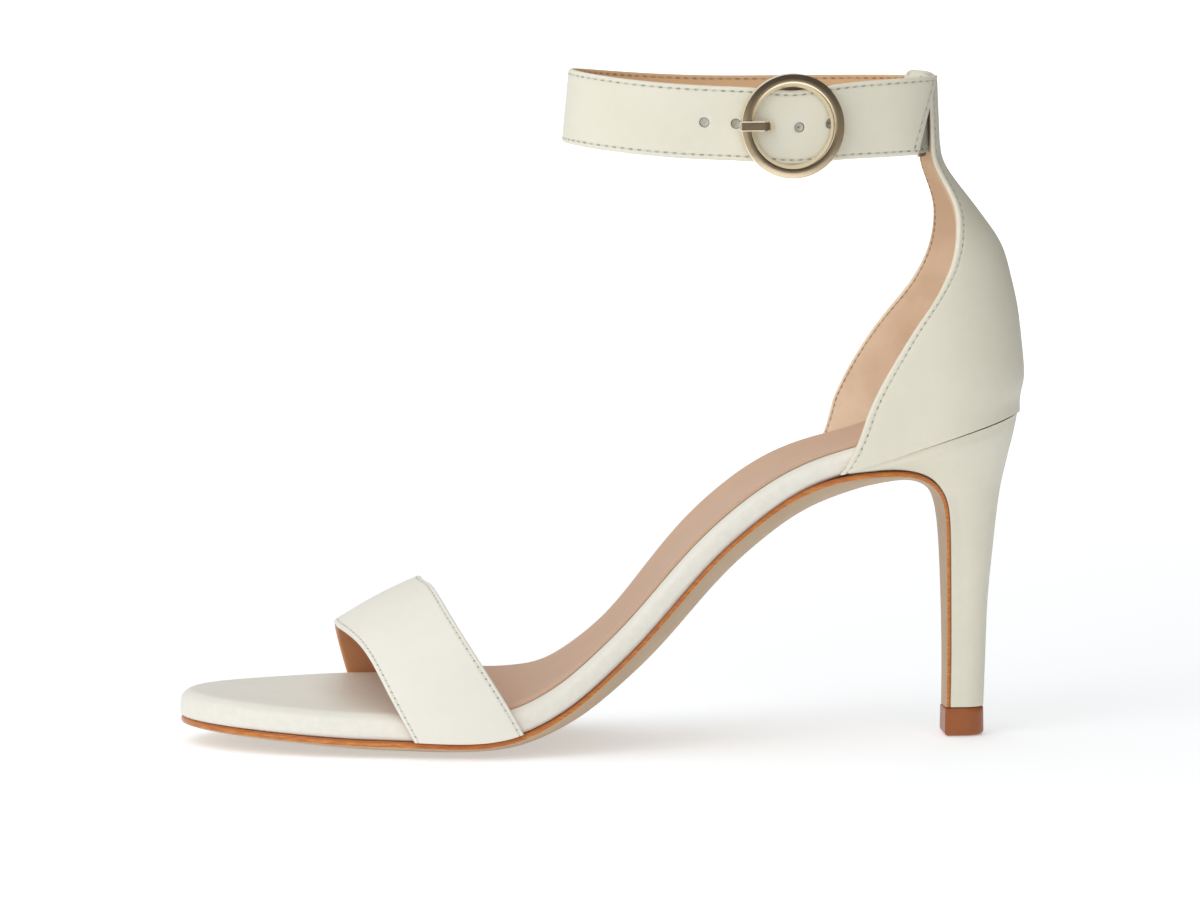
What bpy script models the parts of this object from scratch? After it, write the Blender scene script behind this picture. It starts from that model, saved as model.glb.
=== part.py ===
"""Stiletto sandal, one left shoe, as CAD solids.

Tables and sizes are millimetres in the shoe's own frame: x runs from the toe tip back to the
heel, y from the outer (buckle) side at minus to the inner side at plus, z up from the floor.
The meshes are made in metres, toe toward -X, with the origin under the middle of the shoe.
"""

import math
from collections import namedtuple

import bpy
import numpy as np

MM = 0.001
GAP = 0.3
ORIGIN_X = 113.75
ORIGIN_Y = -1.8

# The sole, a row per section from toe to heel
#   x       place along the shoe
#   centre  y of the section's middle
#   half    half width of the board before its ends are rounded
#   edge    height of the board's lower edge on the outer side
#   bank    how much higher the footbed's inner edge is than its outer edge
#   cup     how far the board's underside hangs below its edge in the middle
#   dish    how far the footbed dips below its rim in the middle
#   sag     how far the outsole's underside bulges below its own edge
Station = namedtuple("Station", "x centre half edge bank cup dish sag")
BOARD = [
    Station(0.0, 3.9, 32.8, 7.9, 0.0, 0.0, 0.0, 0.6),
    Station(14.0, 3.2, 33.3, 7.1, 0.6, 0.0, 0.2, 1.5),
    Station(28.0, 2.1, 33.5, 6.3, 1.5, 0.0, 0.4, 2.7),
    Station(44.0, 0.8, 34.4, 5.5, 2.7, 0.0, 0.6, 3.7),
    Station(60.0, -0.6, 36.3, 5.15, 3.0, 0.0, 0.7, 4.2),
    Station(72.0, -1.8, 37.0, 4.85, 3.4, 0.1, 0.8, 4.0),
    Station(80.0, -2.5, 36.8, 5.2, 3.6, 0.3, 1.0, 4.2),
    Station(87.0, -3.1, 36.0, 6.5, 2.7, 0.7, 1.3, 4.9),
    Station(94.0, -3.7, 34.7, 9.2, 0.9, 1.2, 1.6, 5.4),
    Station(102.0, -4.2, 32.7, 13.8, -1.7, 2.1, 2.0, 5.8),
    Station(112.0, -4.5, 29.6, 21.7, -3.4, 3.2, 2.4, 6.0),
    Station(122.0, -4.55, 26.6, 31.1, -3.4, 4.0, 2.8, 6.1),
    Station(132.0, -4.3, 24.0, 41.9, -1.2, 4.4, 3.0, 6.2),
    Station(142.0, -3.9, 22.0, 52.3, 0.8, 4.5, 3.0, 6.3),
    Station(152.0, -3.4, 20.7, 60.7, 1.7, 4.4, 3.0, 6.3),
    Station(162.0, -2.8, 20.2, 67.4, 1.6, 4.2, 3.0, 6.1),
    Station(172.0, -2.1, 20.5, 72.0, 0.8, 4.0, 3.0, 5.6),
    Station(184.0, -1.35, 21.5, 75.7, 0.0, 3.7, 3.0, 4.6),
    Station(198.0, -0.6, 22.6, 80.2, 0.0, 3.2, 3.0, 2.4),
    Station(212.0, -0.1, 23.1, 84.4, 0.0, 2.6, 2.6, 1.0),
    Station(224.2, 0.0, 23.3, 87.6, 0.0, 2.2, 2.0, 1.0),
]
NOSE_REACH = 50.0
TAIL_REACH = 24.0
BOARD_THICK = 6.4
NOSE_ROWS = 9
MIDDLE_ROWS = 28
TAIL_ROWS = 8
BOARD_COLUMNS = 6

# The outsole behind the arch, along its upper face: under the heel's lip and down the breast
Breast = namedtuple("Breast", "x z half cup sag thick")
BREAST = [
    Breast(172.0, 71.4, 21.6, 4.0, 5.6, 1.5),
    Breast(178.0, 72.8, 21.9, 4.2, 4.9, 1.5),
    Breast(184.0, 73.5, 21.8, 4.5, 3.9, 1.5),
    Breast(190.0, 73.6, 20.8, 3.8, 2.9, 1.5),
    Breast(195.5, 72.9, 18.9, 2.4, 1.9, 1.4),
    Breast(200.0, 71.0, 16.4, 1.4, 1.2, 1.3),
    Breast(203.2, 68.2, 14.4, 0.9, 0.8, 1.2),
    Breast(205.2, 64.5, 12.7, 0.7, 0.5, 1.1),
    Breast(206.3, 58.5, 10.7, 0.6, 0.4, 1.0),
    Breast(206.9, 48.0, 8.3, 0.6, 0.3, 1.0),
    Breast(207.2, 36.0, 6.8, 0.6, 0.3, 1.0),
    Breast(207.4, 22.0, 5.9, 0.6, 0.3, 1.0),
    Breast(207.3, 7.9, 5.4, 0.6, 0.3, 1.0),
]
SOLE_JOIN_X = 165.0
SOLE_OVERHANG = 0.8
SOLE_TIP_INSET = 0.4
UNDER_BANK = 0.5
BALL_THICK = 2.3
WAIST_THICK = 1.5
SOLE_ROWS = 40
SOLE_COLUMNS = 8

SOCK_FRONT_X = 60.0
SOCK_INSET = 2.8
SOCK_THICK = 0.8

# The heel, a row per section from the seat down: its front on the breast, its back, half widths
HeelSection = namedtuple("HeelSection", "front_x front_z back_x back_z front_half half")
HEEL = [
    HeelSection(184.0, 74.5, 225.2, 84.3, 22.8, 24.0),
    HeelSection(190.0, 74.5, 224.4, 80.6, 21.2, 22.2),
    HeelSection(195.7, 73.5, 223.5, 77.0, 19.0, 19.7),
    HeelSection(200.4, 71.5, 222.6, 73.0, 16.5, 16.9),
    HeelSection(203.5, 68.4, 221.6, 68.6, 14.4, 14.4),
    HeelSection(205.5, 64.6, 220.9, 64.0, 12.7, 12.3),
    HeelSection(206.6, 58.5, 220.1, 57.5, 10.7, 10.2),
    HeelSection(207.2, 48.0, 219.1, 47.5, 8.3, 8.0),
    HeelSection(207.5, 36.0, 218.1, 36.0, 6.8, 6.6),
    HeelSection(207.7, 22.0, 217.6, 22.0, 5.9, 5.8),
    HeelSection(207.6, 7.9, 217.1, 7.9, 5.4, 5.4),
]
HEEL_LIP_X = 177.5
HEEL_SIDE = 1.6
HEEL_POINTS = 27
HEEL_COLUMNS = 6

TIP_HEIGHT = 7.6
TIP_FRONT_X = 206.0
TIP_BACK_X = 217.2
TIP_HALF = 5.6
TIP_ROUND = 1.2

# The counter's outer face, a row per rib: its front on the topline, its back, half width,
# and how much further forward it reaches on the inner side
Rib = namedtuple("Rib", "front_x front_z back_x back_z half lead")
COUNTER = [
    Rib(174.8, 72.9, 226.4, 88.0, 25.5, 2.6),
    Rib(178.6, 80.0, 227.3, 92.5, 26.0, 3.3),
    Rib(183.8, 92.7, 227.6, 99.0, 26.9, 3.1),
    Rib(189.9, 104.1, 226.9, 107.0, 27.0, 2.8),
    Rib(195.2, 112.5, 225.7, 116.5, 25.9, 2.3),
    Rib(200.8, 120.4, 223.8, 125.0, 24.2, 1.8),
    Rib(205.7, 129.7, 221.4, 132.8, 21.6, 1.8),
    Rib(207.6, 138.6, 217.1, 139.5, 18.3, 2.0),
    Rib(206.9, 145.9, 212.4, 145.7, 15.0, 2.0),
    Rib(203.4, 153.3, 206.9, 153.0, 12.2, 1.0),
    Rib(201.9, 157.6, 204.9, 157.6, 11.0, 0.3),
]
COUNTER_THICK = 2.0
COUNTER_SIDE = COUNTER_THICK + GAP
COUNTER_BLEND = 10.0
COUNTER_ROWS = 14
COUNTER_POINTS = 25

# The toe strap, a row per edge: places of its two ends along the sole and of its ridge
VampEdge = namedtuple("VampEdge", "outer_x ridge_x ridge_z inner_x")
VAMP_FRONT = VampEdge(60.2, 41.8, 31.2, 50.6)
VAMP_REAR = VampEdge(89.3, 65.0, 44.0, 78.6)
VAMP_RIDGE_Y = 3.0
VAMP_THICK = 1.9
VAMP_SIDE_GAP = 0.7
VAMP_SQUARENESS = 2.4
VAMP_BOW = 0.8
VAMP_SWEEP = 1.25
VAMP_FRONT_CURVE = 0.11
VAMP_REAR_CURVE = 0.035
VAMP_ROWS = 8
VAMP_POINTS = 29

# The ankle strap: an oval in plan, its lining side toward the ankle
STRAP_CENTRE_X = 153.0
STRAP_LONG = 48.5
STRAP_BROAD = 27.0
STRAP_SQUARENESS = 2.2
STRAP_Z = 167.3
STRAP_FRONT_RISE = 3.4
STRAP_BACK_RISE = 0.8
STRAP_LEAN = 0.045
STRAP_FRONT_LEAN = 0.05
STRAP_THICK = 1.6
STRAP_HALF = 9.5
SHORT_END_OFFSET = -0.7
TAIL_OFFSET = 1.2
TAIL_LIFT = 3.7
TAIL_END = 14.9
TAIL_SKEW = 4.8
FOLD_RADIUS = 1.95
FOLD_LENGTH = 13.0
FOLD_REST = -2.65
STRAP_STEP = 2.9

# How much lower the strap hangs inside the buckle's ring
RING_DIP = 1.5
RING_DIP_PLACE = 1.0
RING_DIP_REACH = 9.0

LOOP_REACH = 10.4
LOOP_INNER_REACH = 11.6
LOOP_WALL = 1.4
LOOP_CLEAR = 0.4
LOOP_END_CLEAR = 0.4
LOOP_STATIONS = 9

HOLE_PITCH = 8.3
HOLE_DIAMETER = 2.3
HOLES_FROM_PRONG = (-2, -1, 1, 2)
PRONG_HOLE_LENGTH = 3.9
PRONG_HOLE_HEIGHT = 2.9

# The buckle, in its own frame: along the strap, out from the ankle, up
BUCKLE_X = 161.3
BUCKLE_DROP = 0.7
RING_OUTER = 27.9
RING_INNER = 20.6
RING_DEPTH = 2.8
RING_OUT = 3.4
BAR_RADIUS = 0.9
BAR_OUT = -2.65
EYE_RADIUS = 2.15
EYE_HALF = 1.3
PRONG_RADIUS = 0.85
PRONG_TIP_HALF = 1.3
PRONG_HOLE_ALONG = -6.25
SLOT_HALF = 1.9
SLOT_ALONG = (-4.6, 3.6)
SLOT_OUT = (-6.5, 0.25)


def spline(knots, values):
    """Return a natural cubic spline through the knots."""
    knots = np.asarray(knots, float)
    values = np.asarray(values, float)
    step = np.diff(knots)
    slope = np.diff(values) / step
    count = len(knots)
    system = np.eye(count)
    right = np.zeros(count)
    for i in range(1, count - 1):
        system[i, i - 1:i + 2] = step[i - 1], 2 * (step[i - 1] + step[i]), step[i]
        right[i] = 6 * (slope[i] - slope[i - 1])
    bend = np.linalg.solve(system, right)

    def value(at):
        at = np.clip(np.asarray(at, float), knots[0], knots[-1])
        i = np.clip(np.searchsorted(knots, at) - 1, 0, count - 2)
        a = (knots[i + 1] - at) / step[i]
        b = 1 - a
        curve = ((a ** 3 - a) * bend[i] + (b ** 3 - b) * bend[i + 1]) * step[i] ** 2 / 6
        return a * values[i] + b * values[i + 1] + curve

    return value


def smooth(x, low, high):
    """Return 0 below low, 1 above high and a smooth step between them."""
    t = np.clip((np.asarray(x, float) - low) / (high - low), 0, 1)
    return t * t * (3 - 2 * t)


def lengths(points):
    """Return the length along a polyline at each of its points."""
    steps = np.linalg.norm(np.diff(points, axis=0), axis=1)
    return np.concatenate([[0.0], np.cumsum(steps)])


def resample(points, count):
    """Return count points spread evenly along a polyline."""
    points = np.asarray(points, float)
    along = lengths(points)
    wanted = np.linspace(0, along[-1], count)
    return np.stack([np.interp(wanted, along, column) for column in points.T], axis=1)


class Sheet:
    """A sole-like surface: a line in the shoe's middle plane with a width and a hollow."""

    def __init__(self, xs, zs, centre, half, hollow):
        line = np.stack([xs, zs], axis=1)
        self.knots = lengths(line)
        self.length = self.knots[-1]
        self.x = spline(self.knots, xs)
        self.z = spline(self.knots, zs)
        self.centre = spline(self.knots, centre)
        self.half = spline(self.knots, half)
        self.hollow = spline(self.knots, hollow)
        self.bank = spline(self.knots, np.zeros(len(self.knots)))
        self.nose = NOSE_REACH
        self.tail = 0.0

    def column(self, values):
        """Return a spline of another table column along this sheet's line."""
        return spline(self.knots, values)

    def at_x(self, x):
        """Return the length along the line at a place x, for lines that keep going back."""
        s = np.linspace(0, self.length, 600)
        return np.interp(x, self.x(s), s)

    def roundness(self, s):
        """Return the share of the width that is left at the rounded ends."""
        front = np.clip(1 - s / self.nose, 0, 1)
        share = np.sqrt(1 - front ** 2)
        if self.tail:
            back = np.clip(1 - (self.length - s) / self.tail, 0, 1)
            share = share * np.sqrt(1 - back ** 2)
        return share

    def outline(self, s, outset=0.0):
        """Return the two sides at stations s as (s, y) points, moved out by outset."""
        width = self.half(s) * self.roundness(s)
        near = np.stack([s, self.centre(s) - width], axis=1)
        far = np.stack([s, self.centre(s) + width], axis=1)
        ring = np.concatenate([near, far[::-1]])
        along = np.roll(ring, -1, axis=0) - np.roll(ring, 1, axis=0)
        along /= np.linalg.norm(along, axis=1)[:, None]
        out = np.stack([along[:, 1], -along[:, 0]], axis=1)
        if self.tail == 0.0:
            last = len(s) - 1
            out[last] = 0.0, -1.0
            out[last + 1] = 0.0, 1.0
        ring = ring + outset * out
        return ring[:len(s)], ring[len(s):][::-1]

    def place(self, s, y, height, hollow, banked=UNDER_BANK):
        """Return the point at height above the sheet, with hollow pulling its middle down.

        banked is the share of the footbed's bank that this layer follows.
        """
        width = np.maximum(self.half(s) * self.roundness(s), 0.5)
        v = np.clip((y - self.centre(s)) / width, -1, 1)
        drop = hollow * (1 - v * v) * self.roundness(s) ** 2
        step = 0.05
        dx = self.x(s + step) - self.x(s - step)
        dz = self.z(s + step) - self.z(s - step)
        size = np.hypot(dx, dz)
        lift = height - drop
        raised = banked * self.bank(s) * (1 + v) / 2
        x = self.x(s) - dz / size * lift
        return np.stack([x, y + 0 * s, self.z(s) + dx / size * lift + raised], axis=-1)


def crowd(reach, count):
    """Return count lengths from just above 0 up to reach, crowded toward 0."""
    t = np.linspace(0.03, math.pi / 2, count)
    return reach * (1 - np.cos(t))


def row_spacing(length):
    """Return stations along the sole, close at the rounded ends and even between them."""
    nose = crowd(NOSE_REACH * 0.7, NOSE_ROWS)
    tail = length - crowd(TAIL_REACH, TAIL_ROWS)[::-1]
    return np.concatenate([nose[:-1], np.linspace(nose[-1], tail[0], MIDDLE_ROWS)[:-1], tail])


class Solid:
    """Collects the points and faces of one closed body."""

    def __init__(self):
        self.points = []
        self.faces = []

    def add(self, points):
        """Add points and return their numbers in the same layout."""
        points = np.asarray(points, float)
        first = len(self.points)
        self.points.extend(points.reshape(-1, 3))
        return np.arange(first, len(self.points)).reshape(points.shape[:-1])

    def strip(self, a, b, closed=False):
        """Join two lines of equal count with quads."""
        count = len(a)
        for i in range(count if closed else count - 1):
            j = (i + 1) % count
            self.faces.append((a[i], a[j], b[j], b[i]))

    def grid(self, numbers, flip=False):
        """Fill a grid of point numbers with quads."""
        for a, b in zip(numbers, numbers[1:]):
            if flip:
                self.strip(b, a)
            else:
                self.strip(a, b)

    def shell(self, face, back):
        """Close two facing grids of point numbers into a wall."""
        self.grid(face)
        self.grid(back, flip=True)
        self.strip(back[0], face[0])
        self.strip(face[-1], back[-1])
        self.strip(face[:, 0], back[:, 0])
        self.strip(back[:, -1], face[:, -1])

    def volume(self):
        """Return the signed volume."""
        points = np.asarray(self.points)
        total = 0.0
        for face in self.faces:
            first = points[face[0]]
            for one, two in zip(face[1:], face[2:]):
                total += np.dot(first, np.cross(points[one], points[two]))
        return total / 6

    def build(self, name, colour, roughness, metallic=0.0):
        """Make the object, its faces turned outward."""
        faces = self.faces
        if self.volume() < 0:
            faces = [tuple(reversed(face)) for face in faces]
        shifted = (np.asarray(self.points) - (ORIGIN_X, ORIGIN_Y, 0.0)) * MM
        mesh = bpy.data.meshes.new(name)
        mesh.from_pydata([tuple(p) for p in shifted], [], [tuple(int(n) for n in f) for f in faces])
        mesh.validate()
        piece = bpy.data.objects.new(name, mesh)
        if colour is not None:
            mesh.materials.append(make_material(name, colour, roughness, metallic))
        return piece


def make_material(name, colour, roughness, metallic):
    """Return a plain Principled material."""
    material = bpy.data.materials.new(name + "_material")
    material.use_nodes = True
    shader = material.node_tree.nodes["Principled BSDF"]
    shader.inputs["Base Color"].default_value = (*colour, 1.0)
    shader.inputs["Roughness"].default_value = roughness
    shader.inputs["Metallic"].default_value = metallic
    return material


def thicken(outer, depth):
    """Return a closed body from a grid of outer points and a wall depth behind them."""
    across = np.gradient(outer, axis=1)
    along = np.gradient(outer, axis=0)
    normal = np.cross(across, along)
    normal /= np.linalg.norm(normal, axis=2)[:, :, None]
    inner = outer - depth * normal
    body = Solid()
    body.shell(body.add(outer), body.add(inner))
    return body


def pad(sheet, s, levels, columns, under, over):
    """Return a closed body from rings at (inset, height) levels, its two faces hollowed.

    under and over give the heights of the two faces' own hollows along s.
    """
    body = Solid()
    flat = np.zeros_like(s)
    sides = []
    for number, (inset, height) in enumerate(levels):
        near, far = sheet.outline(s, -inset)
        hollow = under if number < len(levels) / 2 else over
        banked = UNDER_BANK + (1 - UNDER_BANK) * height / levels[-1][1]
        ends = [sheet.place(side[:, 0], side[:, 1], height + flat, hollow, banked) for side in (near, far)]
        sides.append(ends)
    rings = []
    for near, far in sides:
        rings.append((body.add(near), body.add(far)))
    for (near_a, far_a), (near_b, far_b) in zip(rings, rings[1:]):
        loop_a = np.concatenate([near_a, far_a[::-1]])
        loop_b = np.concatenate([near_b, far_b[::-1]])
        body.strip(loop_a, loop_b, closed=True)
    lower = (levels[0], rings[0], under, UNDER_BANK, True)
    upper = (levels[-1], rings[-1], over, 1.0, False)
    for (inset, height), ring, hollow, banked, flip in (lower, upper):
        near, far = sheet.outline(s, -inset)
        lines = [ring[0][1:-1]]
        for share in np.linspace(0, 1, columns + 1)[1:-1]:
            mid = (near + (far - near) * share)[1:-1]
            points = sheet.place(mid[:, 0], mid[:, 1], height + flat[1:-1], hollow[1:-1], banked)
            lines.append(body.add(points))
        lines.append(ring[1][1:-1])
        lines = np.array(lines)
        body.grid(lines, flip=flip)
        front = [ring[0][0], *lines[:, 0], ring[1][0]]
        back = [ring[1][-1], *lines[::-1, -1], ring[0][-1]]
        for end in (front, back):
            body.faces.append(tuple(end[::-1] if flip else end))
    return body


def column_of(rows, name):
    """Return one named column of a table."""
    return np.array([getattr(row, name) for row in rows])


def board_sheet():
    """Return the sheet of the board's underside."""
    sheet = Sheet(*(column_of(BOARD, name) for name in ("x", "edge", "centre", "half", "cup")))
    sheet.tail = TAIL_REACH
    sheet.bank = sheet.column(column_of(BOARD, "bank"))
    return sheet


def outsole_sheet(board):
    """Return the sheet of the outsole's upper face, with its sag and edge thickness."""
    front = [row for row in BOARD if row.x < SOLE_JOIN_X]
    xs = np.concatenate([column_of(front, "x"), column_of(BREAST, "x")])
    xs[0] += SOLE_TIP_INSET
    zs = np.concatenate([column_of(front, "edge") - GAP, column_of(BREAST, "z")])
    middle = board.centre(board.at_x(column_of(BREAST, "x"))) * smooth(column_of(BREAST, "z"), 40.0, 72.0)
    centre = np.concatenate([column_of(front, "centre"), middle])
    half = np.concatenate([column_of(front, "half") + SOLE_OVERHANG, column_of(BREAST, "half")])
    cup = np.concatenate([column_of(front, "cup"), column_of(BREAST, "cup")])
    sheet = Sheet(xs, zs, centre, half, cup)
    bank = np.concatenate([column_of(front, "bank"), board.bank(board.at_x(column_of(BREAST, "x")))])
    sheet.bank = sheet.column(bank)
    sag = np.concatenate([column_of(front, "sag"), column_of(BREAST, "sag")])
    front_thick = BALL_THICK + (WAIST_THICK - BALL_THICK) * smooth(column_of(front, "x"), 75.0, 112.0)
    thick = np.concatenate([front_thick, column_of(BREAST, "thick")])
    return sheet, sheet.column(sag), sheet.column(thick)


def make_outsole(sole, sag, thick):
    """Return the outsole with its breast flap, flat where it meets the floor."""
    nose = crowd(NOSE_REACH * 0.7, NOSE_ROWS)
    s = np.concatenate([nose[:-1], np.linspace(nose[-1], sole.length, SOLE_ROWS)])
    body = Solid()
    flat = np.zeros_like(s)
    near, far = sole.outline(s)
    top = []
    bottom = []
    for share in np.linspace(0, 1, SOLE_COLUMNS + 1):
        mid = near + (far - near) * share
        top.append(sole.place(mid[:, 0], mid[:, 1], flat, sole.hollow(s)))
        under = sole.place(mid[:, 0], mid[:, 1], -thick(s), sag(s))
        under[:, 2] = np.maximum(under[:, 2], 0.0)
        bottom.append(under)
    body.shell(body.add(np.array(top)), body.add(np.array(bottom)))
    return body


def make_board(board):
    """Return the wrapped board: a rolled side wall round a dished top."""
    s = row_spacing(board.length)
    dish = board.column(column_of(BOARD, "dish"))
    levels = [
        (0.5, 0.0),
        (0.0, 0.9),
        (0.0, 3.4),
        (0.6, BOARD_THICK - 1.5),
        (1.8, BOARD_THICK - 0.4),
        (3.4, BOARD_THICK),
    ]
    return pad(board, s, levels, BOARD_COLUMNS, board.hollow(s), dish(s))


def make_sock(board):
    """Return the sock on the footbed, from under the toe strap to the heel."""
    s = row_spacing(board.length)
    near, far = board.outline(s, -SOCK_INSET)
    covered = board.x(s) >= SOCK_FRONT_X
    s, near, far = s[covered], near[covered], far[covered]
    dish = board.column(column_of(BOARD, "dish"))
    body = Solid()
    faces = []
    for height in (BOARD_THICK + GAP, BOARD_THICK + GAP + SOCK_THICK):
        lines = []
        for share in np.linspace(0, 1, BOARD_COLUMNS + 1):
            mid = near + (far - near) * share
            lines.append(board.place(mid[:, 0], mid[:, 1], height + np.zeros_like(s), dish(s), 1.0))
        faces.append(body.add(np.array(lines)))
    body.shell(*faces)
    return body


def heel_outline(board, outer_x, inner_x, outset, count):
    """Return the board's outline from outer_x round the heel to inner_x, in (x, y)."""
    s = np.concatenate([np.linspace(100.0, board.length - TAIL_REACH, 160)[:-1],
                        board.length - crowd(TAIL_REACH, 60)[::-1]])
    near, far = board.outline(s, outset)
    ring = np.concatenate([near, far[::-1]])
    ring = np.stack([board.x(ring[:, 0]) + np.maximum(ring[:, 0] - board.length, 0), ring[:, 1]], axis=1)
    inside = ring[:, 0] > np.where(np.arange(len(ring)) < len(s), outer_x, inner_x)
    return resample(ring[inside], count)


def d_section(front_half, half, chord, count):
    """Return half widths and places along the chord of a D section, front corner to back to front."""
    turn = np.clip(1 - 1.02 * half / chord, 0.2, 0.6)
    c = np.concatenate([
        np.linspace(0, turn, 40)[:-1],
        turn + (1 - turn) * np.sin(np.linspace(0, math.pi / 2, 80)),
    ])
    side = front_half + (half - front_half) * smooth(c, 0, turn)
    back = half * np.sqrt(np.clip(1 - ((c - turn) / (1 - turn)) ** 2, 0, 1))
    y = np.where(c < turn, side, back)
    ring = np.concatenate([np.stack([c * chord, -y], axis=1), np.stack([c * chord, y], axis=1)[::-1][1:]])
    return resample(ring, count)


def make_heel(board, sole):
    """Return the covered heel, lofted from its cupped seat to the tip."""
    body = Solid()
    seat_plan = heel_outline(board, HEEL_LIP_X, HEEL_LIP_X, HEEL_SIDE, HEEL_POINTS)
    seat_s = board.at_x(seat_plan[:, 0])
    seat = np.stack([seat_plan[:, 0], seat_plan[:, 1], board.z(seat_s) - GAP], axis=1)
    rings = [seat]
    for row in HEEL:
        front = np.array([row.front_x, row.front_z])
        back = np.array([row.back_x, row.back_z])
        chord = np.linalg.norm(back - front)
        shape = d_section(row.front_half, row.half, chord, HEEL_POINTS)
        share = shape[:, 0] / chord
        side = front + share[:, None] * (back - front)
        shift = float(sole_centre_at(sole, row)) * (1 - share)
        rings.append(np.stack([side[:, 0], shape[:, 1] + shift, side[:, 1]], axis=1))
    numbers = [body.add(ring) for ring in rings]
    for a, b in zip(numbers, numbers[1:]):
        body.strip(a, b)
    fronts = heel_front(body, rings, numbers, board, sole)
    body.grid(np.array(fronts), flip=True)
    fill_seat(body, seat, numbers[0], fronts[0], board)
    fill_flat(body, numbers[-1], fronts[-1])
    return body


def sole_centre_at(sole, row):
    """Return the sole's middle at the place where a heel section meets it."""
    s = np.linspace(0, sole.length, 800)
    away = np.hypot(sole.x(s) - row.front_x, sole.z(s) - row.front_z)
    return sole.centre(s[np.argmin(away)])


def heel_front(body, rings, numbers, board, sole):
    """Add the breast face's lines, bulged to lie along the outsole's hollow."""
    s = np.linspace(0, sole.length, 800)
    shares = np.linspace(0, 1, HEEL_COLUMNS + 1)[1:-1]
    lines = []
    for index, (ring, line) in enumerate(zip(rings, numbers)):
        first, last = ring[0], ring[-1]
        best = s[np.argmin(np.hypot(sole.x(s) - first[0], sole.z(s) - first[2]))]
        dx = sole.x(best + 0.1) - sole.x(best - 0.1)
        dz = sole.z(best + 0.1) - sole.z(best - 0.1)
        down = np.array([dz, 0.0, -dx]) / np.hypot(dx, dz)
        hollow = float(sole.hollow(best))
        if index == 0:
            hollow = float(board.hollow(board.at_x(first[0])))
            down = np.array([0.0, 0.0, -1.0])
        points = []
        for share in shares:
            v = 2 * share - 1
            points.append(first + (last - first) * share + down * hollow * (1 - v * v))
        inner = body.add(np.array(points))
        lines.append(np.concatenate([[line[0]], inner, [line[-1]]]))
    return lines


def fill_seat(body, seat, ring, front_line, board):
    """Fill the heel's top with a cupped grid."""
    half_count = len(ring) // 2
    lines = [front_line]
    shares = np.linspace(0, 1, HEEL_COLUMNS + 1)[1:-1]
    for i in range(1, half_count):
        a, b = seat[i], seat[-1 - i]
        s = float(board.at_x(min(a[0], b[0])))
        hollow = float(board.hollow(s) * board.roundness(s) ** 2)
        points = [a + (b - a) * t - (0, 0, hollow * (1 - (2 * t - 1) ** 2)) for t in shares]
        inner = body.add(np.array(points))
        lines.append(np.concatenate([[ring[i]], inner, [ring[-1 - i]]]))
    body.grid(np.array(lines))
    tip = ring[half_count]
    last = lines[-1]
    for a, b in zip(last, last[1:]):
        body.faces.append((a, b, tip))


def fill_flat(body, ring, front_line):
    """Close the heel's lower end with one flat face."""
    rest = list(ring) + list(front_line[1:-1][::-1])
    body.faces.append(tuple(rest))


def make_heel_tip():
    """Return the top piece: a D-shaped block with rounded lower corners."""
    body = Solid()
    chord = TIP_BACK_X - TIP_FRONT_X
    levels = [(TIP_ROUND, 0.0), (0.35 * TIP_ROUND, 0.3 * TIP_ROUND), (0.0, TIP_ROUND), (0.15, TIP_HEIGHT)]
    rings = []
    for inset, z in levels:
        shape = d_section(TIP_HALF - inset, TIP_HALF - inset, chord - 2 * inset, 22)
        x = TIP_FRONT_X + inset + shape[:, 0]
        rings.append(body.add(np.stack([x, shape[:, 1], z + 0 * x], axis=1)))
    for a, b in zip(rings, rings[1:]):
        body.strip(a, b, closed=True)
    body.faces.append(tuple(reversed(rings[0])))
    body.faces.append(tuple(rings[-1]))
    return body


def half_curve(front_x, back_x, half):
    """Return half a rib's plan, front to back: a straight wall, then a round back."""
    depth = back_x - front_x
    if depth >= half:
        turn = np.linspace(0, math.pi / 2, 60)
        arc = np.stack([back_x - half + half * np.sin(turn), half * np.cos(turn)], axis=1)
        return np.concatenate([[[front_x, half]], arc])
    radius = (half ** 2 + depth ** 2) / (2 * depth)
    turn = np.linspace(math.asin(half / radius), 0, 60)
    return np.stack([back_x - radius * (1 - np.cos(turn)), radius * np.sin(turn)], axis=1)


def rib_curve(rib):
    """Return a rib from its outer front round the back to its inner front, with heights."""
    sides = []
    for front_x, sign in ((rib.front_x, -1), (rib.front_x - rib.lead, 1)):
        plan = half_curve(front_x, rib.back_x, rib.half) * (1, sign)
        climb = (plan[:, 0] - front_x) / (rib.back_x - front_x)
        z = rib.front_z + (rib.back_z - rib.front_z) * climb
        sides.append(np.column_stack([plan, z]))
    return np.concatenate([sides[0], sides[1][::-1][1:]])


def counter_grid(board):
    """Return the counter's outer face as a grid, ribs from the seat up to the loop."""
    knots = np.arange(len(COUNTER))
    columns = {name: spline(knots, column_of(COUNTER, name)) for name in Rib._fields}
    rows = []
    for t in np.linspace(0, knots[-1], COUNTER_ROWS):
        rib = Rib(*(float(columns[name](t)) for name in Rib._fields))
        upper = resample(rib_curve(rib), COUNTER_POINTS)
        plan = heel_outline(board, rib.front_x, rib.front_x - rib.lead, COUNTER_SIDE, COUNTER_POINTS)
        rise = rib.back_z - COUNTER[0].back_z
        lower = board.place(board.at_x(plan[:, 0]), plan[:, 1], 0.0, 0.0)
        lower = np.column_stack([plan, lower[:, 2] + rise])
        blend = float(smooth(rise, 2.0, COUNTER_BLEND))
        rows.append(lower + (upper - lower) * blend)
    return np.array(rows)


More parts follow.
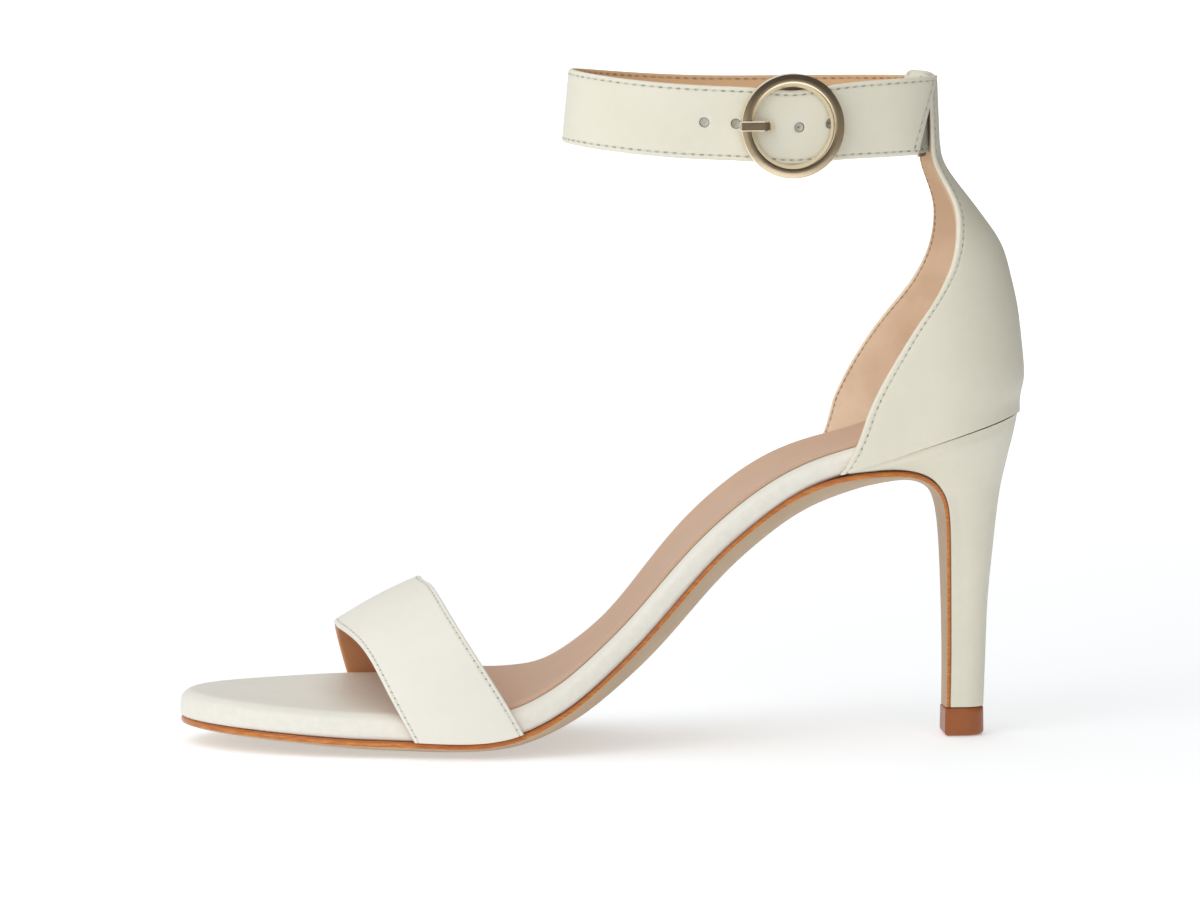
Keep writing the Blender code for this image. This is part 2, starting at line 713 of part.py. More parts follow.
def strap_oval(turn):
    """Return plan points and outward directions of the strap's oval at turns from the back."""
    power = 2 / STRAP_SQUARENESS
    cos, sin = np.cos(turn), np.sin(turn)
    x = STRAP_CENTRE_X + STRAP_LONG * np.sign(cos) * np.abs(cos) ** power
    y = STRAP_BROAD * np.sign(sin) * np.abs(sin) ** power
    rest = 2 - power
    out_x = np.sign(cos) * np.abs(cos) ** rest / STRAP_LONG
    out_y = np.sign(sin) * np.abs(sin) ** rest / STRAP_BROAD
    size = np.hypot(out_x, out_y)
    return np.stack([x, y], axis=-1), np.stack([out_x / size, out_y / size], axis=-1)


class StrapLine:
    """The strap's oval measured by its own length from the back, inner side first."""

    def __init__(self):
        turn = np.linspace(-math.pi, 2 * math.pi, 6001)
        points, _ = strap_oval(turn)
        along = lengths(points)
        self.along = along - np.interp(0, turn, along)
        self.turn = turn
        self.round_length = float(np.interp(2 * math.pi, turn, self.along))

    def frame(self, s):
        """Return plan points and outward directions at lengths s."""
        return strap_oval(np.interp(s, self.along, self.turn))

    def at_outer_x(self, x):
        """Return the length at a place x on the outer side, counted back from the loop."""
        turn = np.linspace(-math.pi / 2 - 0.9, 0, 3000)
        points, _ = strap_oval(turn)
        return float(np.interp(np.interp(x, points[:, 0], turn), self.turn, self.along))


def strap_height(x):
    """Return the height of the strap's middle at a place x."""
    u = (x - STRAP_CENTRE_X) / STRAP_LONG
    return STRAP_Z + np.where(u < 0, STRAP_FRONT_RISE, STRAP_BACK_RISE) * u * u


def strap_lean(x):
    """Return how far the strap leans in per length up."""
    u = (x - STRAP_CENTRE_X) / STRAP_LONG
    return STRAP_LEAN + STRAP_FRONT_LEAN * np.clip(-u, 0, 1) ** 2


def ring_dip(s, ring_s):
    """Return how much lower the strap hangs at lengths s, near the ring at ring_s."""
    return RING_DIP * np.exp(-((s - ring_s - RING_DIP_PLACE) / RING_DIP_REACH) ** 2)


class BuckleFrame:
    """The buckle's own frame: along the strap toward the heel, out from the ankle, up."""

    def __init__(self, line):
        s = line.at_outer_x(BUCKLE_X)
        point, out = line.frame(np.array(s))
        lean = float(strap_lean(point[0]))
        self.s = s
        self.origin = np.array([point[0], point[1], float(strap_height(point[0])) - BUCKLE_DROP])
        self.out = np.array([out[0], out[1], lean]) / math.hypot(1, lean)
        self.along = np.array([-out[1], out[0], 0.0])
        self.up = np.cross(self.out, self.along) * -1

    def point(self, along, out, up):
        """Return the shoe-frame points for places in this frame."""
        parts = np.broadcast_arrays(*(np.asarray(v, float) for v in (along, out, up)))
        a, o, u = (part[..., None] for part in parts)
        return self.origin + a * self.along + o * self.out + u * self.up


def strap_route(line, buckle):
    """Return the strap's plan middle line and outward directions, short end to tail."""
    centre, out = line.frame(np.array(buckle.s))
    along = np.array([-out[1], out[0]])

    def local(a, o):
        return centre + np.outer(a, along) + np.outer(o, out)

    a = np.linspace(FOLD_LENGTH, 0.8, 6)
    o = FOLD_REST + (BAR_OUT - FOLD_RADIUS - FOLD_REST) * smooth(-a, -7.5, -0.8)
    fold = local(a, o)
    turn = np.linspace(-math.pi / 2, math.pi / 2, 11)
    wrap = local(-FOLD_RADIUS * np.cos(turn), BAR_OUT + FOLD_RADIUS * np.sin(turn))
    tail_stop = line.round_length - TAIL_END
    s = np.arange(buckle.s + 1.0, tail_stop, STRAP_STEP)
    s = np.append(s, tail_stop)
    points, outs = line.frame(s)
    first = SHORT_END_OFFSET * (1 - smooth(s, -34.0, -15.0))
    ring_s = line.round_length + buckle.s
    second = TAIL_OFFSET * smooth(s, ring_s - 26.0, ring_s - 3.0)
    second = second + (TAIL_LIFT - TAIL_OFFSET) * smooth(s, tail_stop - 22.0, tail_stop)
    main = points + (first + second)[:, None] * outs
    fixed = np.tile(out, (len(fold) + len(wrap), 1))
    return np.concatenate([fold, wrap, main]), np.concatenate([fixed, outs]), s


def make_strap(line, buckle):
    """Return the ankle strap as one band, before its holes are cut."""
    plan, outs, s = strap_route(line, buckle)
    step = np.gradient(plan, axis=0)
    step /= np.linalg.norm(step, axis=1)[:, None]
    side = np.stack([step[:, 1], -step[:, 0]], axis=1)
    before_main = len(plan) - len(s)
    skew = np.concatenate([np.zeros(before_main), smooth(s, s[-1] - 16.0, s[-1])])
    z = strap_height(plan[:, 0])
    lean = strap_lean(plan[:, 0])
    z[:before_main] = strap_height(BUCKLE_X)
    z[before_main:] -= ring_dip(s, line.round_length + buckle.s)
    lean[:before_main] = strap_lean(BUCKLE_X)
    body = Solid()
    faces = []
    for half in (STRAP_THICK / 2, -STRAP_THICK / 2):
        lines = []
        for share in (-1.0, 0.0, 1.0):
            up = share * STRAP_HALF
            centre = plan + half * side - (lean * up)[:, None] * outs
            centre = centre + (skew * share * TAIL_SKEW)[:, None] * step
            lines.append(np.column_stack([centre, z + up]))
        faces.append(body.add(np.array(lines)))
    body.shell(*faces)
    return body


def make_loop(line):
    """Return the counter's strap loop: a flat tube round the strap at the back."""
    body = Solid()
    s = np.linspace(-LOOP_REACH, LOOP_INNER_REACH, LOOP_STATIONS)
    points, outs = line.frame(s)
    rings = []
    for wall in (LOOP_WALL, 0.0):
        thick = STRAP_THICK / 2 + LOOP_CLEAR + wall
        tall = STRAP_HALF + LOOP_END_CLEAR + wall
        corner = 0.3 + wall * 0.6
        section = []
        for quarter in range(4):
            sx = (1, -1, -1, 1)[quarter]
            sz = (1, 1, -1, -1)[quarter]
            for step in range(4):
                angle = math.pi / 2 * (quarter + step / 3)
                section.append((sx * (thick - corner) + corner * math.cos(angle),
                                sz * (tall - corner) + corner * math.sin(angle)))
        tube = []
        for point, out in zip(points, outs):
            z = float(strap_height(point[0]))
            lean = float(strap_lean(point[0]))
            tube.append([(*(point + out * (o - lean * up)), z + up) for o, up in section])
        rings.append(body.add(np.array(tube)))
    outer, inner = rings
    for a, b in zip(outer, outer[1:]):
        body.strip(a, b, closed=True)
    for a, b in zip(inner, inner[1:]):
        body.strip(b, a, closed=True)
    body.strip(inner[0], outer[0], closed=True)
    body.strip(outer[-1], inner[-1], closed=True)
    return body


def make_vamp(board):
    """Return the toe strap: an arch whose two edges run from the sole over a ridge."""
    power = 2 / VAMP_SQUARENESS
    arch = np.linspace(0, math.pi, VAMP_POINTS)
    climb = np.sin(arch) ** power
    reach = np.abs(np.cos(arch)) ** power
    away = np.abs(1 - arch / (math.pi / 2))
    sweep = (climb + 1 - away ** VAMP_SWEEP) / 2
    front_curve = VAMP_FRONT_CURVE * np.sin(math.pi * away ** 0.7) ** 2
    rear_curve = VAMP_REAR_CURVE * np.sin(2 * math.pi * away ** 0.6)
    rows = []
    for v in np.linspace(1, 0, VAMP_ROWS):
        edge = VampEdge(*(a + (b - a) * v for a, b in zip(VAMP_FRONT, VAMP_REAR)))
        ridge_z = edge.ridge_z + VAMP_BOW * 4 * v * (1 - v)
        curve = front_curve + (rear_curve - front_curve) * v
        row = []
        for i, angle in enumerate(arch):
            outer_side = angle <= math.pi / 2
            base_x = edge.outer_x if outer_side else edge.inner_x
            s = float(board.at_x(base_x))
            beyond = VAMP_SIDE_GAP + VAMP_THICK
            width = float(board.half(s) * board.roundness(s)) + beyond
            base_y = float(board.centre(s)) + (-width if outer_side else width)
            base_z = float(board.place(s, base_y, 0.0, 0.0)[2])
            row.append((
                base_x + (edge.ridge_x - base_x) * (sweep[i] - curve[i]),
                VAMP_RIDGE_Y + (base_y - VAMP_RIDGE_Y) * reach[i],
                base_z + (ridge_z - base_z) * climb[i],
            ))
        rows.append(row)
    return thicken(np.array(rows), VAMP_THICK)


def tube(body, centres, radii, sides, closed=False):
    """Add a round tube along centres; radii are (across, second) pairs with their directions."""
    rings = []
    for centre, (one, two) in zip(centres, radii):
        angle = np.linspace(0, 2 * math.pi, sides, endpoint=False)
        ring = centre + np.outer(np.cos(angle), one) + np.outer(np.sin(angle), two)
        rings.append(body.add(ring))
    for a, b in zip(rings, rings[1:]):
        body.strip(a, b, closed=True)
    if closed:
        body.strip(rings[-1], rings[0], closed=True)
    else:
        body.faces.append(tuple(reversed(rings[0])))
        body.faces.append(tuple(rings[-1]))


def make_ring(buckle):
    """Return the round buckle frame."""
    body = Solid()
    middle = (RING_OUTER + RING_INNER) / 4
    across = (RING_OUTER - RING_INNER) / 4
    angle = np.linspace(0, 2 * math.pi, 40, endpoint=False)
    centres = buckle.point(middle * np.cos(angle), RING_OUT, middle * np.sin(angle))
    radial = buckle.point(np.cos(angle), 0, np.sin(angle)) - buckle.origin
    radii = [(across * r, RING_DEPTH / 2 * buckle.out) for r in radial]
    tube(body, centres, radii, 10, closed=True)
    return body


def make_bar(buckle):
    """Return the centre bar: behind the strap, its two arms joining the ring."""
    body = Solid()
    middle = (RING_OUTER + RING_INNER) / 4
    arm = middle - 0.6
    bend = 1.0
    turn = np.linspace(0, math.pi / 2, 4)
    out = np.concatenate([[RING_OUT], BAR_OUT + bend * (1 - np.sin(turn))])
    up = np.concatenate([[arm], arm - bend * (1 - np.cos(turn))])
    out = np.concatenate([out, out[::-1]])
    up = np.concatenate([up, -up[::-1]])
    centres = buckle.point(0.0, out, up)
    step = np.gradient(centres, axis=0)
    radii = []
    for direction in step:
        second = np.cross(direction / np.linalg.norm(direction), buckle.along)
        radii.append((BAR_RADIUS * buckle.along, BAR_RADIUS * second))
    tube(body, centres, radii, 10)
    return body


def make_prong(buckle):
    """Return the prong's arm: from its eye out through the strap hole onto the ring."""
    body = Solid()
    stops = np.array([
        (-1.5, -2.45),
        (-3.4, -2.1),
        (PRONG_HOLE_ALONG + 1.0, -0.35),
        (PRONG_HOLE_ALONG, 0.8),
        (PRONG_HOLE_ALONG - 1.0, 2.2),
        (-9.4, 4.6),
        (-11.6, 5.95),
        (-14.6, 6.0),
    ])
    along = lengths(stops)
    t = np.linspace(0, along[-1], 17)
    a = spline(along, stops[:, 0])(t)
    o = spline(along, stops[:, 1])(t)
    centres = buckle.point(a, o, 0.0)
    step = np.gradient(centres, axis=0)
    half = PRONG_RADIUS + (PRONG_TIP_HALF - PRONG_RADIUS) * smooth(t, 3.0, 10.0)
    radii = []
    for direction, tall in zip(step, half):
        second = np.cross(direction / np.linalg.norm(direction), buckle.up)
        radii.append((tall * buckle.up, PRONG_RADIUS * second))
    tube(body, centres, radii, 10)
    return body


def make_eye(buckle):
    """Return the prong's eye: a short ring that turns on the bar."""
    body = Solid()
    inner = BAR_RADIUS + 0.25
    angle = np.linspace(0, 2 * math.pi, 20, endpoint=False)
    corners = [(inner, -EYE_HALF), (EYE_RADIUS, -EYE_HALF), (EYE_RADIUS, EYE_HALF), (inner, EYE_HALF)]
    rings = []
    for radius, up in corners:
        rings.append(body.add(buckle.point(radius * np.cos(angle), BAR_OUT + radius * np.sin(angle), up)))
    for a, b in zip(rings, rings[1:] + rings[:1]):
        body.strip(a, b, closed=True)
    return body


def make_hole_cutter(point, along, out, up, length, height):
    """Return a round-ended pin through the strap."""
    body = Solid()
    radius = height / 2
    straight = (length - height) / 2
    angle = np.linspace(0, 2 * math.pi, 16, endpoint=False) + math.pi / 16
    a = radius * np.cos(angle) + straight * np.sign(np.cos(angle))
    u = radius * np.sin(angle)
    rings = []
    for depth in (-2.2, 2.2):
        rings.append(body.add(point + np.outer(a, along) + np.outer(u, up) + depth * out))
    body.strip(rings[0], rings[1], closed=True)
    body.faces.append(tuple(reversed(rings[0])))
    body.faces.append(tuple(rings[1]))
    return body


def make_slot_cutter(buckle):
    """Return the block that opens the strap's fold for the prong."""
    body = Solid()
    rings = []
    for up in (-SLOT_HALF, SLOT_HALF):
        a = np.array([SLOT_ALONG[0], SLOT_ALONG[1], SLOT_ALONG[1], SLOT_ALONG[0]])
        o = np.array([SLOT_OUT[0], SLOT_OUT[0], SLOT_OUT[1], SLOT_OUT[1]])
        rings.append(body.add(buckle.point(a, o, up)))
    body.strip(rings[0], rings[1], closed=True)
    body.faces.append(tuple(reversed(rings[0])))
    body.faces.append(tuple(rings[1]))
    return body


def strap_hole_cutters(line, buckle):
    """Return the pins for the strap's five holes; the prong's own hole is a slot."""
    cutters = []
    for step in (0,) + HOLES_FROM_PRONG:
        s = line.round_length + buckle.s + PRONG_HOLE_ALONG + step * HOLE_PITCH
        point, out = line.frame(np.array(s))
        ring_s = line.round_length + buckle.s
        offset = TAIL_OFFSET * float(smooth(s, ring_s - 26.0, ring_s - 3.0))
        out3 = np.array([out[0], out[1], 0.0])
        along = np.array([-out[1], out[0], 0.0])
        height = float(strap_height(point[0]) - ring_dip(s, ring_s))
        centre = np.array([*(point + offset * out), height])
        length = PRONG_HOLE_LENGTH if step == 0 else HOLE_DIAMETER
        tall = PRONG_HOLE_HEIGHT if step == 0 else HOLE_DIAMETER
        reach = out3 if step <= 0 else out3 * 0.48
        cutters.append(make_hole_cutter(centre, along, reach, np.array([0.0, 0.0, 1.0]), length, tall))
    return cutters


def combine(piece, tool, operation):
    """Add a Boolean of a tool object to a piece."""
    modifier = piece.modifiers.new(tool.name, "BOOLEAN")
    modifier.operation = operation
    modifier.solver = "EXACT"
    modifier.object = tool


def clear_scene():
    """Remove every object of the start scene."""
    for item in list(bpy.data.objects):
        bpy.data.objects.remove(item, do_unlink=True)


def main():
    """Build every piece and the tools that shape them."""
    clear_scene()
    parts = bpy.data.collections.new("stiletto_sandal")
    tools = bpy.data.collections.new("cutters")
    for group in (parts, tools):
        bpy.context.scene.collection.children.link(group)

    def keep(body, name, colour, roughness, metallic=0.0):
        piece = body.build(name, colour, roughness, metallic)
        parts.objects.link(piece)
        return piece

    def tool(body, name):
        piece = body.build(name, None, 0.5)
        tools.objects.link(piece)
        piece.hide_render = True
        piece.display_type = "WIRE"
        return piece

    cream = (0.78, 0.76, 0.66)
    tan = (0.56, 0.37, 0.25)
    brown = (0.42, 0.13, 0.03)
    gold = (0.83, 0.66, 0.42)

    board = board_sheet()
    sole, sag, thick = outsole_sheet(board)
    line = StrapLine()
    buckle = BuckleFrame(line)

    keep(make_outsole(sole, sag, thick), "outsole", brown, 0.4)
    keep(make_board(board), "insole_board", cream, 0.45)
    keep(make_sock(board), "sock", tan, 0.6)
    keep(make_heel(board, sole), "heel", cream, 0.45)
    keep(make_heel_tip(), "heel_tip", brown, 0.4)
    keep(make_vamp(board), "vamp_strap", cream, 0.45)

    counter = keep(thicken(counter_grid(board), COUNTER_THICK), "counter", cream, 0.45)
    combine(counter, tool(make_loop(line), "strap_loop"), "UNION")

    strap = keep(make_strap(line, buckle), "ankle_strap", cream, 0.45)
    for number, pin in enumerate(strap_hole_cutters(line, buckle)):
        combine(strap, tool(pin, "strap_hole_%d" % number), "DIFFERENCE")
    combine(strap, tool(make_slot_cutter(buckle), "prong_slot"), "DIFFERENCE")

    ring = keep(make_ring(buckle), "buckle_ring", gold, 0.2, 1.0)
    combine(ring, tool(make_bar(buckle), "buckle_bar"), "UNION")
    prong = keep(make_prong(buckle), "buckle_prong", gold, 0.2, 1.0)
    combine(prong, tool(make_eye(buckle), "prong_eye"), "UNION")


main()
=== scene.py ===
"""Stiletto sandal: the finished looks of one left shoe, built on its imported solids.

Tables and sizes are millimetres in the shoe's own frame: x runs from the toe tip back to the
heel, y from the outer (buckle) side at minus to the inner side at plus, z up from the floor.
"""

import math
from collections import namedtuple

import bpy
import numpy as np
from bpy.props import FloatProperty, FloatVectorProperty, PointerProperty
from bpy.types import Operator, Panel, PropertyGroup
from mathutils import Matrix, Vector


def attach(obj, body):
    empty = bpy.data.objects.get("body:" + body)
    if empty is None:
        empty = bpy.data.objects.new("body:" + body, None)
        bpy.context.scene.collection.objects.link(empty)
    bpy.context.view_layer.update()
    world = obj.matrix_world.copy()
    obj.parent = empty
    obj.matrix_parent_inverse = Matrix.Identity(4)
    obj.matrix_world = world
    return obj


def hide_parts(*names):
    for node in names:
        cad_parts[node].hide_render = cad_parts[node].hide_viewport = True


bl_info = {
    "name": "Stiletto sandal",
    "version": (1, 0, 0),
    "blender": (4, 5, 0),
    "location": "3D View > Sidebar > Sandal",
    "description": "Builds a cream leather stiletto sandal around its packed solids",
    "category": "Add Mesh",
}

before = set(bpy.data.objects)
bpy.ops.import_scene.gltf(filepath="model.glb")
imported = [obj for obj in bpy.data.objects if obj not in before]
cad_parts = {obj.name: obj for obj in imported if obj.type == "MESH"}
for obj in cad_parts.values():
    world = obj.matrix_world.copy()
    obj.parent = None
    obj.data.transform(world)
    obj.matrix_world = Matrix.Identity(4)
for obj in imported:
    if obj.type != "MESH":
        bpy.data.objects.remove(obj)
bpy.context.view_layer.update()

# A millimetre in metres, the glue gap between two pieces, and the frame's origin
# in the shoe's frame
MM = 0.001
GAP = 0.3
ORIGIN = np.array([113.75, -1.8, 0.0])

# The sole, a row per section from toe to heel: place, middle, half width, lower edge of the board,
# rise of the inner edge, hang of the underside, dip of the footbed, bulge of the outsole
Station = namedtuple("Station", "x centre half edge bank cup dish sag")
BOARD = [
    Station(0.0, 3.9, 32.8, 7.9, 0.0, 0.0, 0.0, 0.6),
    Station(14.0, 3.2, 33.3, 7.1, 0.6, 0.0, 0.2, 1.5),
    Station(28.0, 2.1, 33.5, 6.3, 1.5, 0.0, 0.4, 2.7),
    Station(44.0, 0.8, 34.4, 5.5, 2.7, 0.0, 0.6, 3.7),
    Station(60.0, -0.6, 36.3, 5.15, 3.0, 0.0, 0.7, 4.2),
    Station(72.0, -1.8, 37.0, 4.85, 3.4, 0.1, 0.8, 4.0),
    Station(80.0, -2.5, 36.8, 5.2, 3.6, 0.3, 1.0, 4.2),
    Station(87.0, -3.1, 36.0, 6.5, 2.7, 0.7, 1.3, 4.9),
    Station(94.0, -3.7, 34.7, 9.2, 0.9, 1.2, 1.6, 5.4),
    Station(102.0, -4.2, 32.7, 13.8, -1.7, 2.1, 2.0, 5.8),
    Station(112.0, -4.5, 29.6, 21.7, -3.4, 3.2, 2.4, 6.0),
    Station(122.0, -4.55, 26.6, 31.1, -3.4, 4.0, 2.8, 6.1),
    Station(132.0, -4.3, 24.0, 41.9, -1.2, 4.4, 3.0, 6.2),
    Station(142.0, -3.9, 22.0, 52.3, 0.8, 4.5, 3.0, 6.3),
    Station(152.0, -3.4, 20.7, 60.7, 1.7, 4.4, 3.0, 6.3),
    Station(162.0, -2.8, 20.2, 67.4, 1.6, 4.2, 3.0, 6.1),
    Station(172.0, -2.1, 20.5, 72.0, 0.8, 4.0, 3.0, 5.6),
    Station(184.0, -1.35, 21.5, 75.7, 0.0, 3.7, 3.0, 4.6),
    Station(198.0, -0.6, 22.6, 80.2, 0.0, 3.2, 3.0, 2.4),
    Station(212.0, -0.1, 23.1, 84.4, 0.0, 2.6, 2.6, 1.0),
    Station(224.2, 0.0, 23.3, 87.6, 0.0, 2.2, 2.0, 1.0),
]
BOARD_THICK = 6.4

# The rounded ends of the sole: how far they reach, the share of the nose with close rows,
# and the rows of points along the board and the outsole
NOSE_REACH = 50.0
NOSE_CROWD = 0.7
NOSE_ROWS = 22
MIDDLE_ROWS = 110
TAIL_REACH = 24.0
TAIL_ROWS = 22
SOLE_ROWS = 170

# The board's side wall and its rolled upper edge: way in from the outline, height
BOARD_PROFILE = [
    (0.5, 0.0), (0.12, 0.35), (0.0, 0.9), (0.0, 2.2), (0.0, 3.4), (0.18, 4.2),
    (0.6, 4.9), (1.15, 5.5), (1.8, 6.0), (2.5, 6.28), (3.4, BOARD_THICK),
]

# The outsole behind the arch, along its upper face: under the heel's lip and down the breast
Breast = namedtuple("Breast", "x z half cup sag thick")
BREAST = [
    Breast(172.0, 71.4, 21.6, 4.0, 5.6, 1.5),
    Breast(178.0, 72.8, 21.9, 4.2, 4.9, 1.5),
    Breast(184.0, 73.5, 21.8, 4.5, 3.9, 1.5),
    Breast(190.0, 73.6, 20.8, 3.8, 2.9, 1.5),
    Breast(195.5, 72.9, 18.9, 2.4, 1.9, 1.4),
    Breast(200.0, 71.0, 16.4, 1.4, 1.2, 1.3),
    Breast(203.2, 68.2, 14.4, 0.9, 0.8, 1.2),
    Breast(205.2, 64.5, 12.7, 0.7, 0.5, 1.1),
    Breast(206.3, 58.5, 10.7, 0.6, 0.4, 1.0),
    Breast(206.9, 48.0, 8.3, 0.6, 0.3, 1.0),
    Breast(207.2, 36.0, 6.8, 0.6, 0.3, 1.0),
    Breast(207.4, 22.0, 5.9, 0.6, 0.3, 1.0),
    Breast(207.3, 7.9, 5.4, 0.6, 0.3, 1.0),
]
SOLE_JOIN_X = 165.0
SOLE_OVERHANG = 0.8
SOLE_TIP_INSET = 0.4
UNDER_BANK = 0.5
BALL_THICK = 2.3
WAIST_THICK = 1.5

# Where the outsole thins out behind the ball, where its breast comes to the shoe's middle plane,
# how far its upper edge stands up into the glue gap, and how far down it meets the board:
# a share of its thickness, and where that fades out
WAIST_REACH = (75.0, 112.0)
BREAST_REACH = (40.0, 72.0)
JOIN_LIFT = 0.2
JOIN_DROP = 0.25
JOIN_FADE = (150.0, 170.0)

SOCK_FRONT_X = 60.0
SOCK_INSET = 2.8
SOCK_SINK = 0.24

# The heel, a row per section from the seat down: its front on the breast, its back, half widths
HeelSection = namedtuple("HeelSection", "front_x front_z back_x back_z front_half half")
HEEL = [
    HeelSection(184.0, 74.5, 225.2, 84.3, 22.8, 24.0),
    HeelSection(190.0, 74.5, 224.4, 80.6, 21.2, 22.2),
    HeelSection(195.7, 73.5, 223.5, 77.0, 19.0, 19.7),
    HeelSection(200.4, 71.5, 222.6, 73.0, 16.5, 16.9),
    HeelSection(203.5, 68.4, 221.6, 68.6, 14.4, 14.4),
    HeelSection(205.5, 64.6, 220.9, 64.0, 12.7, 12.3),
    HeelSection(206.6, 58.5, 220.1, 57.5, 10.7, 10.2),
    HeelSection(207.2, 48.0, 219.1, 47.5, 8.3, 8.0),
    HeelSection(207.5, 36.0, 218.1, 36.0, 6.8, 6.6),
    HeelSection(207.7, 22.0, 217.6, 22.0, 5.9, 5.8),
    HeelSection(207.6, 7.9, 217.1, 7.9, 5.4, 5.4),
]

# The heel's seat: where its lip starts, how far it stands out past the board and how far below
# it lies, then the heel's rows, points round, columns across and the steps down from the seat
HEEL_LIP_X = 177.5
HEEL_SIDE = 1.6
HEEL_SINK = 0.12
HEEL_ROWS = 61
HEEL_POINTS = 97
HEEL_COLUMNS = 16
SEAT_STEPS = (0.0, 0.33, 0.67)

TIP_HEIGHT = 7.6
TIP_FRONT_X = 206.0
TIP_BACK_X = 217.2
TIP_HALF = 5.6

# The counter's outer face, a row per rib: its front on the topline, its back, half width,
# and how much further forward it reaches on the inner side
Rib = namedtuple("Rib", "front_x front_z back_x back_z half lead")
COUNTER = [
    Rib(174.8, 72.9, 226.4, 88.0, 25.5, 2.6),
    Rib(178.6, 80.0, 227.3, 92.5, 26.0, 3.3),
    Rib(183.8, 92.7, 227.6, 99.0, 26.9, 3.1),
    Rib(189.9, 104.1, 226.9, 107.0, 27.0, 2.8),
    Rib(195.2, 112.5, 225.7, 116.5, 25.9, 2.3),
    Rib(200.8, 120.4, 223.8, 125.0, 24.2, 1.8),
    Rib(205.7, 129.7, 221.4, 132.8, 21.6, 1.8),
    Rib(207.6, 138.6, 217.1, 139.5, 18.3, 2.0),
    Rib(206.9, 145.9, 212.4, 145.7, 15.0, 2.0),
    Rib(203.4, 153.3, 206.9, 153.0, 12.2, 1.0),
    Rib(201.9, 157.6, 204.9, 157.6, 11.0, 0.3),
]

# Its thickness, how far it stands out past the board at the seat, the heights over which it
# leaves the board's outline, and its rows and points
COUNTER_THICK = 2.0
COUNTER_SIDE = COUNTER_THICK + GAP
COUNTER_BLEND = (2.0, 10.0)
COUNTER_ROWS = 84
COUNTER_POINTS = 121

# How far the counter's lower edge stands above the heel at the back, and where that sets in
SEAT_GAP = 0.38
SEAT_GAP_REACH = (190.0, 226.0)

# The toe strap, a row per edge: places of its two ends along the sole and of its ridge
VampEdge = namedtuple("VampEdge", "outer_x ridge_x ridge_z inner_x")
VAMP_FRONT = VampEdge(60.2, 41.6, 31.5, 48.8)
VAMP_REAR = VampEdge(89.3, 65.0, 44.0, 78.6)
VAMP_RIDGE_Y = 3.0
VAMP_THICK = 1.9
VAMP_SIDE_GAP = 0.7
VAMP_SQUARENESS = 2.4
VAMP_BOW = 0.8
VAMP_SWEEP = 1.25
VAMP_FRONT_CURVE = 0.11
VAMP_REAR_CURVE = 0.035
VAMP_POINTS = 110
VAMP_ROWS = 40

# The ankle strap: an oval in plan, its lining side toward the ankle
STRAP_CENTRE_X = 153.0
STRAP_LONG = 48.5
STRAP_BROAD = 27.0
STRAP_SQUARENESS = 2.2
STRAP_Z = 167.3
STRAP_FRONT_RISE = 3.4
STRAP_BACK_RISE = 0.8
STRAP_LEAN = 0.045
STRAP_FRONT_LEAN = 0.05
STRAP_THICK = 1.6
STRAP_HALF = 9.8
STRAP_COLUMNS = 39

# The lengths from the short end at which the strap's painted shade starts, changes and ends: dark
# brown shade where the strap shows at the top of the buckle's ring, then taupe shade where it lies
# behind the tail up to the loop
STRAP_PAINTED_SHADE = (12.5, 36.0, 66.0)

# The strap's ends: how far out they lie and along which lengths they come there, where the tail
# ends, and how far back from its end it lifts, slants and rises
SHORT_END_OFFSET = -0.7
SHORT_END_BLEND = (-34.0, -15.0)
TAIL_OFFSET = 1.2
TAIL_BLEND = (-26.0, -3.0)
TAIL_END = 14.9
TAIL_LIFT = 3.7
TAIL_LIFT_REACH = 22.0
TAIL_SKEW = 4.8
TAIL_SKEW_REACH = 16.0
TAIL_RISE_REACH = 45.0
TAIL_TUCK = 0.35
FOLD_RADIUS = 1.95
FOLD_LENGTH = 13.0
FOLD_REST = -2.65
FOLD_BLEND = (-7.5, -0.8)

# How much lower the strap hangs inside the buckle's ring
RING_DIP = 1.2
RING_DIP_PLACE = 1.0
RING_DIP_REACH = 9.0

# The loop round the strap: its reach to the outer and the inner side, its wall, the room in it,
# and how far below the strap's middle its outer and inner face end
LOOP_REACH = 10.4
LOOP_INNER_REACH = 11.6
LOOP_WALL = 1.4
LOOP_CLEAR = 0.4
LOOP_END_CLEAR = 0.1
LOOP_FOOT = -7.0
LOOP_INNER_FOOT = -11.0

# The strap's holes: their distance, the rows from one to the next, how much narrower they are
# behind, their numbers counted from the prong's, and the width of the prong's
HOLE_PITCH = 8.3
HOLE_ROWS = 8
HOLE_NARROWING = 1.1
HOLES_FROM_PRONG = (-2, -1, 0, 1, 2)
PRONG_HOLE_WIDTH = 2.2

# The buckle, in its own frame: along the strap, out from the ankle, up
BUCKLE_X = 161.3
BUCKLE_DROP = 0.7
RING_OUTER = 27.9
RING_INNER = 20.6
RING_DEPTH = 2.8
RING_OUT = 3.4
BAR_RADIUS = 0.9
BAR_OUT = -2.65
EYE_RADIUS = 2.15
EYE_HALF = 1.3
PRONG_RADIUS = 0.85
PRONG_TIP_HALF = 1.3
PRONG_HOLE_ALONG = -6.25

# Sewing: how far a seam runs from the edge or the strap's end, and each seam's stitch length,
# the length and width of the mark at a needle hole, painted dark on the outer leather as the
# hole's shadow, its slant and the seam's way in from the edge
SEAM_INSET = 1.25
LINING_SEAM_INSET = 0.9
END_SEAM_INSET = 2.0
Seam = namedtuple("Seam", "pitch length width slant inset")
STRAP_SEAM = Seam(2.375, 1.3, 0.46, 0.25, SEAM_INSET)
COUNTER_SEAM = Seam(2.0, 1.0, 0.5, 0.5, 1.8)
VAMP_SEAM = Seam(1.95, 0.75, 0.46, 0.3, SEAM_INSET)

